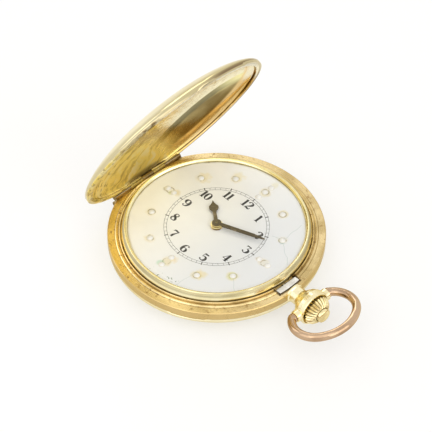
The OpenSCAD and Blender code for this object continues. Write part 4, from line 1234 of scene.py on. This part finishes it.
class Band:
    """Builds thin printed ribbons of varying width on the dial in one mesh."""

    def __init__(self, base: float, top: float) -> None:
        """Starts an empty mesh.

        Args:
            base: height of the ribbons' underside, in metres.
            top: height of their upper side.
        """
        self.mesh = bmesh.new()
        self.base = base
        self.top = top

    def ribbon(self, points: Stroke, closed: bool = False) -> None:
        """Adds one ribbon.

        Args:
            points: (x, y, half width) along its middle, in millimetres.
            closed: whether its end meets its start.
        """
        count = len(points)
        rows = []
        for i, (x, y, half) in enumerate(points):
            before = points[i - 1] if i or closed else points[0]
            after = points[(i + 1) % count] if i < count - 1 or closed else points[-1]
            way = Vector((after[0] - before[0], after[1] - before[1], 0.0)).normalized()
            side = Vector((-way.y, way.x, 0.0)) * half * MM
            at = Vector((x * MM, y * MM, 0.0))
            corners = ((1, self.base), (1, self.top), (-1, self.top), (-1, self.base))
            rows.append([self.mesh.verts.new(at + side * s + Vector((0, 0, z))) for s, z in corners])
        for i in range(count if closed else count - 1):
            one, two = rows[i], rows[(i + 1) % count]
            for k in range(4):
                self.mesh.faces.new((one[k], one[(k + 1) % 4], two[(k + 1) % 4], two[k]))
        if not closed:
            self.mesh.faces.new(rows[0][::-1])
            self.mesh.faces.new(rows[-1])

    def object(self, name: str, material: bpy.types.Material) -> bpy.types.Object:
        """The finished mesh as a named object in the scene."""
        bmesh.ops.recalc_face_normals(self.mesh, faces=self.mesh.faces)
        return mesh_object(name, self.mesh, material)


def smooth(points: Stroke, steps: int = 7) -> list[tuple[float, float, float]]:
    """Draws a smooth curve through a stroke's points.

    Args:
        points: (x, y, half width) of the stroke.
        steps: points per span.

    Returns:
        The denser points; a straight stroke stays as it is.
    """
    if len(points) < 3:
        return list(points)
    ends = [points[0], *points, points[-1]]
    result = []
    for i in range(1, len(ends) - 2):
        for step in range(steps):
            t = step / steps
            result.append(tuple(0.5 * (2 * b + (c - a) * t + (2 * a - 5 * b + 4 * c - d) * t * t
                                       + (3 * b - a - 3 * c + d) * t ** 3)
                                for a, b, c, d in zip(ends[i - 1], ends[i], ends[i + 1], ends[i + 2])))
    return [*result, points[-1]]


@dataclass
class DialPrint:
    """The minute track and the numerals printed on the dial; sizes in millimetres."""

    outer: float = 12.05
    inner: float = 11.42
    line: float = 0.034
    tick: float = 0.03
    hour_tick: float = 0.1
    hour_tick_in: float = 0.06
    hour_tick_out: float = 0.22
    circle_points: int = 180
    numeral_ring: float = 9.9
    numeral_high: float = 2.25
    numeral_wide: float = 2.55
    weight: float = 1.45
    lift: float = 0.004
    thick: float = 0.012

    def band(self) -> Band:
        """An empty ribbon mesh on the dial's face."""
        return Band(DIAL_Z + self.lift * MM, DIAL_Z + (self.lift + self.thick) * MM)

    def track(self, ink: bpy.types.Material) -> bpy.types.Object:
        """The two circles of the minute track with a tick for each minute.

        Args:
            ink: the print's material.

        Returns:
            The track as one piece.
        """
        band = self.band()
        turns = [2 * math.pi * i / self.circle_points for i in range(self.circle_points)]
        for radius in (self.outer, self.inner):
            band.ribbon([(radius * math.cos(a), radius * math.sin(a), self.line) for a in turns], closed=True)
        for minute in range(60):
            angle = math.pi * minute / 30
            half, ends = self.tick, (self.inner, self.outer)
            if minute % 5 == 0:
                half, ends = self.hour_tick, (self.inner - self.hour_tick_in, self.outer + self.hour_tick_out)
            band.ribbon([(r * math.cos(angle), r * math.sin(angle), half) for r in ends])
        return band.object("minute_track", ink)

    def numeral(self, hour: int, ink: bpy.types.Material) -> bpy.types.Object:
        """One upright hour numeral.

        Args:
            hour: 1 to 12.
            ink: the print's material.

        Returns:
            The numeral as one piece.
        """
        band = self.band()
        angle = math.pi / 2 - math.pi * hour / 6
        middle = (self.numeral_ring * math.cos(angle), self.numeral_ring * math.sin(angle))
        glyphs = [Glyph.of(digit) for digit in str(hour)]
        cursor = -sum(advance for _, advance in glyphs) / 2
        for strokes, advance in glyphs:
            shift = cursor + advance / 2
            for stroke in strokes:
                band.ribbon([(middle[0] + (shift + x) * self.numeral_wide,
                              middle[1] + (y - 0.5) * self.numeral_high, w * self.numeral_high * self.weight)
                             for x, y, w in smooth(stroke)])
            cursor += advance
        return band.object(f"numeral_{hour}", ink)

    def build(self, ink: bpy.types.Material) -> list[bpy.types.Object]:
        """Prints the whole dial, riding on the case.

        Args:
            ink: the print's material.

        Returns:
            The track and the twelve numerals.
        """
        pieces = [self.track(ink)] + [self.numeral(hour, ink) for hour in range(1, 13)]
        for piece in pieces:
            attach(piece, "case")
            LOG.info("printed %s", piece.name)
        return pieces


@dataclass
class CrownPiece:
    """The onion-shaped crown with deep flutes that run in to its button; sizes in millimetres.

    The body's and the button's profiles are (distance along the axis, radius, share of the flutes' depth).
    """

    start: float = 30.5
    level: float = 6.3
    flutes: int = 24
    depth: float = 0.42
    full_depth_from: float = 3.0
    roundness: float = 0.8
    per_flute: int = 10
    bore: float = 0.47
    bore_depth: float = 2.2
    crease: float = 50.0
    body: Stroke = (
        (0.0, 2.7, 0.0), (0.05, 2.95, 0.3), (0.4, 3.12, 0.8), (0.9, 3.3, 1.0), (1.4, 3.44, 1.0),
        (1.75, 3.46, 1.0), (2.1, 3.38, 1.0), (2.45, 3.18, 1.0), (2.8, 2.86, 0.95), (3.1, 2.48, 0.8),
        (3.32, 2.12, 0.55), (3.42, 1.9, 0.2), (3.38, 1.78, 0.0), (3.2, 1.74, 0.0))
    button: Stroke = (
        (3.25, 1.7, 0.0), (3.95, 1.7, 0.0), (4.12, 1.66, 0.0), (4.26, 1.52, 0.0), (4.4, 1.22, 0.0),
        (4.5, 0.8, 0.0), (4.56, 0.4, 0.0))

    def rows(self) -> list[tuple[float, float, float]]:
        """The whole profile, from the bottom of the bore to the top of the button."""
        inside = [(self.bore_depth, self.bore, 0.0), (0.0, self.bore, 0.0)]
        return [*inside, *smooth(self.body, 4), *smooth(self.button, 3)]

    def ring(self, along: float, radius: float, share: float) -> list[Vector]:
        """Points of one fluted ring.

        Args:
            along: distance along the axis from the crown's foot.
            radius: radius over the ridges.
            share: share of the flutes' full depth.

        Returns:
            The points in metres, in order round the axis.
        """
        count = self.flutes * self.per_flute
        points = []
        for i in range(count):
            turn = 2 * math.pi * i / count
            wave = (0.5 + 0.5 * math.cos(self.flutes * turn)) ** self.roundness
            reach = radius - self.depth * share * wave * min(1.0, radius / self.full_depth_from)
            points.append(Vector((self.start + along, reach * math.cos(turn),
                                  self.level + reach * math.sin(turn))) * MM)
        return points

    def build(self, material: bpy.types.Material) -> bpy.types.Object:
        """The crown as one mesh that rides on the crown's body.

        Args:
            material: its finish.

        Returns:
            The crown.
        """
        mesh = bmesh.new()
        rings = [[mesh.verts.new(point) for point in self.ring(*row)] for row in self.rows()]
        count = len(rings[0])
        for one, two in zip(rings, rings[1:]):
            for i in range(count):
                mesh.faces.new((one[i], one[(i + 1) % count], two[(i + 1) % count], two[i]))
        for ring in (rings[0], rings[-1]):
            mesh.faces.new(ring)
        bmesh.ops.recalc_face_normals(mesh, faces=mesh.faces)
        for face in mesh.faces:
            face.smooth = len(face.verts) == 4
        piece = mesh_object("crown_fluted", mesh, material)
        piece.data.set_sharp_from_angle(angle=math.radians(self.crease))
        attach(piece, "crown")
        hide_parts("crown")
        LOG.info("built %s", piece.name)
        return piece


def soften(*nodes: str) -> None:
    """Shades CAD nodes as the smooth turned surfaces that they are; their meshes stay as they are.

    Args:
        nodes: names of carried-over CAD nodes.
    """
    for name in nodes:
        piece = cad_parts[name]
        weld = piece.modifiers.new("weld", "WELD")
        weld.merge_threshold = WELD_GAP
        shading = piece.modifiers.new("shading", "WEIGHTED_NORMAL")
        shading.mode = "CORNER_ANGLE"
        shading.weight = NORMAL_WEIGHT
        shading.keep_sharp = False
        LOG.info("softened %s", name)


def middle_of(node: str) -> Spot:
    """Middle of a CAD node's box seen from above, in millimetres."""
    low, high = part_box(node)
    return (low[0] + high[0]) / 2 / MM, (low[1] + high[1]) / 2 / MM


def wear(material: bpy.types.Material, *nodes: str) -> None:
    """Puts a material in every slot of the named CAD nodes.

    Args:
        material: the finish.
        nodes: names of carried-over CAD nodes.
    """
    for name in nodes:
        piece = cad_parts[name]
        if not piece.material_slots:
            piece.data.materials.append(material)
        for slot in piece.material_slots:
            slot.material = material
        LOG.info("dressed %s in %s", name, material.name)


@dataclass
class CaseDress:
    """The outside metal: which finish each carried-over node of the case takes."""

    body: Gold = BandGold(
        "case_gold", (0.93, 0.73, 0.38), (0.58, 0.43, 0.19),
        gloss=0.16, haze=0.14, tarnish=0.8, lathe=0.5, spots=1.0,
        grooves=(Groove(23.32, 0.1, 6.8, 7.3, 0.45), Groove(22.5, 0.16, 6.9, 7.3, 0.5)))
    # The bezel's two dark lines are a painted dark reflection of the band that its slope mirrors.
    bezel: Gold = Gold(
        "bezel_gold", (0.94, 0.85, 0.53), (0.76, 0.63, 0.28),
        gloss=0.08, haze=0.08, tarnish=0.4, lathe=0.3, spots=0.1,
        grooves=(Groove(21.85, 0.3, 6.0, 7.75, 0.8), Groove(21.35, 0.34, 7.9, 9.4, 0.6)))
    lid: Lid = Lid()
    back: Gold = Gold(
        "back_gold", (0.95, 0.87, 0.60), (0.78, 0.66, 0.36), gloss=0.13, lathe=0.2, dents=0.5, spots=0.2)
    neck: Gold = Gold(
        "pendant_gold", (1.0, 0.91, 0.60), (0.76, 0.61, 0.30), gloss=0.13, lathe=0.1, dents=0.3)
    crown: FlutedGold = FlutedGold()
    bow: Gold = Gold(
        "bow_rose_gold", (0.58, 0.405, 0.26), (0.35, 0.215, 0.12),
        gloss=0.08, haze=0.1, tarnish=0.7, dents=0.2, spots=0.25)
    spring: Steel = Steel("catch_nickel", (0.98, 0.96, 0.90), (0.56, 0.53, 0.47), gloss=0.32)

    def dress(self) -> None:
        """Gives each outside node its finish."""
        wear(self.body.make(), "case_middle", "hinge_pins")
        wear(self.bezel.make(), "bezel")
        wear(self.lid.make(), "front_lid")
        wear(self.back.make(), "back_cover")
        wear(self.neck.make(), "pendant")
        CrownPiece().build(self.crown.make())
        wear(self.bow.make(), "bow")
        wear(self.spring.make(), "lock_spring")
        soften("front_lid", "back_cover", "bow", "bezel")


@dataclass
class DialDress:
    """The dial's enamel, its touch points and the two hands."""

    enamel: Enamel = Enamel()
    points: PointEnamel = PointEnamel()
    hands: Bronzed = Bronzed()

    def dress(self) -> None:
        """Gives the dial and the hands their finishes."""
        wear(self.enamel.make(), "dial")
        wear(self.points.make(), "touch_points")
        wear(self.hands.make(), "hour_hand", "minute_hand", "cannon_pinion")


@dataclass
class MovementDress:
    """Finishes of everything behind the dial."""

    plates: StripedNickel = StripedNickel("plate_nickel", (0.78, 0.75, 0.70), (0.56, 0.53, 0.49))
    dust_cover: Steel = Steel("cuvette_metal", (0.86, 0.68, 0.34), (0.66, 0.48, 0.2), gloss=0.2)
    steel: Steel = Steel("work_steel", (0.62, 0.62, 0.63), (0.42, 0.42, 0.43), gloss=0.2)
    blued: Steel = Steel("blued_steel", (0.05, 0.09, 0.30), (0.03, 0.05, 0.16), gloss=0.2)
    ruby: Ruby = Ruby()
    brass_wheel: tuple[Colour, Colour] = ((0.86, 0.66, 0.30), (0.62, 0.42, 0.15))
    steel_wheel: tuple[Colour, Colour] = ((0.66, 0.66, 0.66), (0.44, 0.44, 0.45))

    def dress(self) -> None:
        """Gives each node of the movement its finish; wheels are grained round their own arbors."""
        wear(self.plates.make(), "main_plate", "barrel_bridge", "train_bridge", "balance_cock",
             "pallet_bridge")
        wear(self.dust_cover.make(), "cuvette")
        wear(self.steel.make(), "winding_stem", "winding_pinion", "sliding_pinion", "lift_spring", "click",
             "click_spring", "pallet_fork")
        wear(self.blued.make(), "bridge_screws", "hairspring")
        wear(self.ruby.make(), "jewels")
        for name in ("barrel", "centre_wheel", "third_wheel", "fourth_wheel", "balance_wheel", "minute_wheel",
                     "hour_wheel"):
            wear(Wheel(name + "_brass", *self.brass_wheel, middle_of(name)).make(), name)
        for name in ("ratchet_wheel", "crown_wheel", "escape_wheel"):
            wear(Wheel(name + "_steel", *self.steel_wheel, middle_of(name)).make(), name)


@dataclass(frozen=True)
class Lamp:
    """A square soft lamp that faces the watch: its place and side in metres, its power in watts."""

    name: str
    at: tuple[float, float, float]
    side: float
    power: float
    tint: Colour = (1.0, 0.985, 0.96)

    def light(self) -> None:
        """Sets the lamp up."""
        data = bpy.data.lights.new(self.name, "AREA")
        data.shape = "SQUARE"
        data.size = self.side
        data.energy = self.power
        data.color = self.tint
        lamp = add_object(self.name, data)
        lamp.location = self.at
        lamp.rotation_euler = (-Vector(self.at)).to_track_quat("-Z", "Y").to_euler()


@dataclass
class Studio:
    """Camera, lamps, world and floor.

    Angles are in degrees, the lens and its sensor in millimetres and places in metres.
    """

    azimuth: float = 46.43
    elevation: float = 47.15
    roll: float = 0.12
    distance: float = 0.510
    lens: float = 185.7
    sensor: float = 36.0
    nearest: float = 0.01
    aim: tuple[float, float, float] = (-0.00237, 0.00205, 0.0084)
    sky: float = 0.93
    sky_tint: Colour = (1.0, 0.985, 0.96)
    dusk: float = 0.45
    dusk_low: Span = (-0.12, 0.08)
    dusk_high: Span = (0.62, 0.28)
    dusk_grain: float = 1.7
    dusk_span: Span = (0.3, 0.6)
    white: Colour = (1.0, 1.0, 1.0)
    glow: float = 0.5
    sheet_half: float = 1.5
    sheet_cells: int = 8
    paper_grain: float = 900.0
    paper: tuple[Colour, Colour] = ((0.93, 0.925, 0.91), (0.95, 0.945, 0.93))
    lamps: tuple[Lamp, ...] = (
        Lamp("key", (0.35, -0.42, 0.72), 0.95, 1.55),
        Lamp("side", (0.75, 0.1, 0.28), 0.7, 1.9),
        Lamp("fill", (-0.05, -0.62, 0.42), 0.6, 0.6),
        Lamp("left", (-0.7, -0.3, 0.4), 0.5, 0.7),
        Lamp("rim", (-0.75, 0.3, 0.45), 0.5, 1.2, (1.0, 0.99, 0.97)))

    def camera(self) -> None:
        """The photograph's camera."""
        az, el, roll = (math.radians(v) for v in (self.azimuth, self.elevation, self.roll))
        back = Vector((math.sin(az) * math.cos(el), -math.cos(az) * math.cos(el), math.sin(el)))
        right = Vector((math.cos(az), math.sin(az), 0.0))
        up = back.cross(right)
        across = right * math.cos(roll) + up * math.sin(roll)
        upward = up * math.cos(roll) - right * math.sin(roll)
        data = bpy.data.cameras.new("camera")
        data.lens = self.lens
        data.sensor_width = self.sensor
        data.clip_start = self.nearest
        eye = add_object("camera", data)
        turn = Matrix((across, upward, back)).transposed().to_4x4()
        eye.matrix_world = Matrix.Translation(Vector(self.aim) + back * self.distance) @ turn
        bpy.context.scene.camera = eye

    def world(self) -> None:
        """A white room to the camera and in the metal, softly graded for the light."""
        world = bpy.data.worlds.new("room")
        bpy.context.scene.world = world
        room = Paint(world)
        ray = room.node("TexCoord", {}, {}, "Generated")
        _, _, up = room.split(ray)
        band = room.ramp(up, *self.dusk_low) * room.ramp(up, *self.dusk_high)
        uneven = room.ramp(room.noise(self.dusk_grain, 1.0, ray), *self.dusk_span)
        strength = self.sky - band * (self.dusk + self.dusk * 0.6 * uneven)
        lit = room.node("Background", {}, {"Color": self.sky_tint, "Strength": strength})
        white = room.node("Background", {}, {"Color": self.white, "Strength": 1.0})
        room.surface(room.node("MixShader", {}, {0: room.direct_ray(), 1: lit, 2: white}))

    def floor(self) -> None:
        """A plain pale sheet under the watch."""
        paper = Paint.material("floor_paper")
        shade = paper.mix(*self.paper, paper.noise(self.paper_grain, 2.0))
        matt = paper.shader(Base_Color=shade, Roughness=0.9, Specular_IOR_Level=0.1)
        white = paper.node("Emission", {}, {"Color": self.white, "Strength": 1.0})
        paper.surface(paper.node("MixShader", {}, {0: paper.direct_ray() * self.glow, 1: matt, 2: white}))
        mesh = bmesh.new()
        cells = self.sheet_cells
        bmesh.ops.create_grid(mesh, x_segments=cells, y_segments=cells, size=self.sheet_half)
        sheet = mesh_object("floor", mesh, paper.owner)

    def build(self) -> None:
        """Sets up the room."""
        bpy.context.scene.view_settings.view_transform = "Standard"
        self.camera()
        self.world()
        self.floor()
        for lamp in self.lamps:
            lamp.light()
        LOG.info("room, camera and lamps set")


def main() -> None:
    """Builds and dresses everything in order."""
    logging.basicConfig(level=logging.INFO, format="%(message)s")
    Studio().build()
    CaseDress().dress()
    DialDress().dress()
    MovementDress().dress()
    DialPrint().build(Ink().make())


if __name__ == "__main__":
    main()
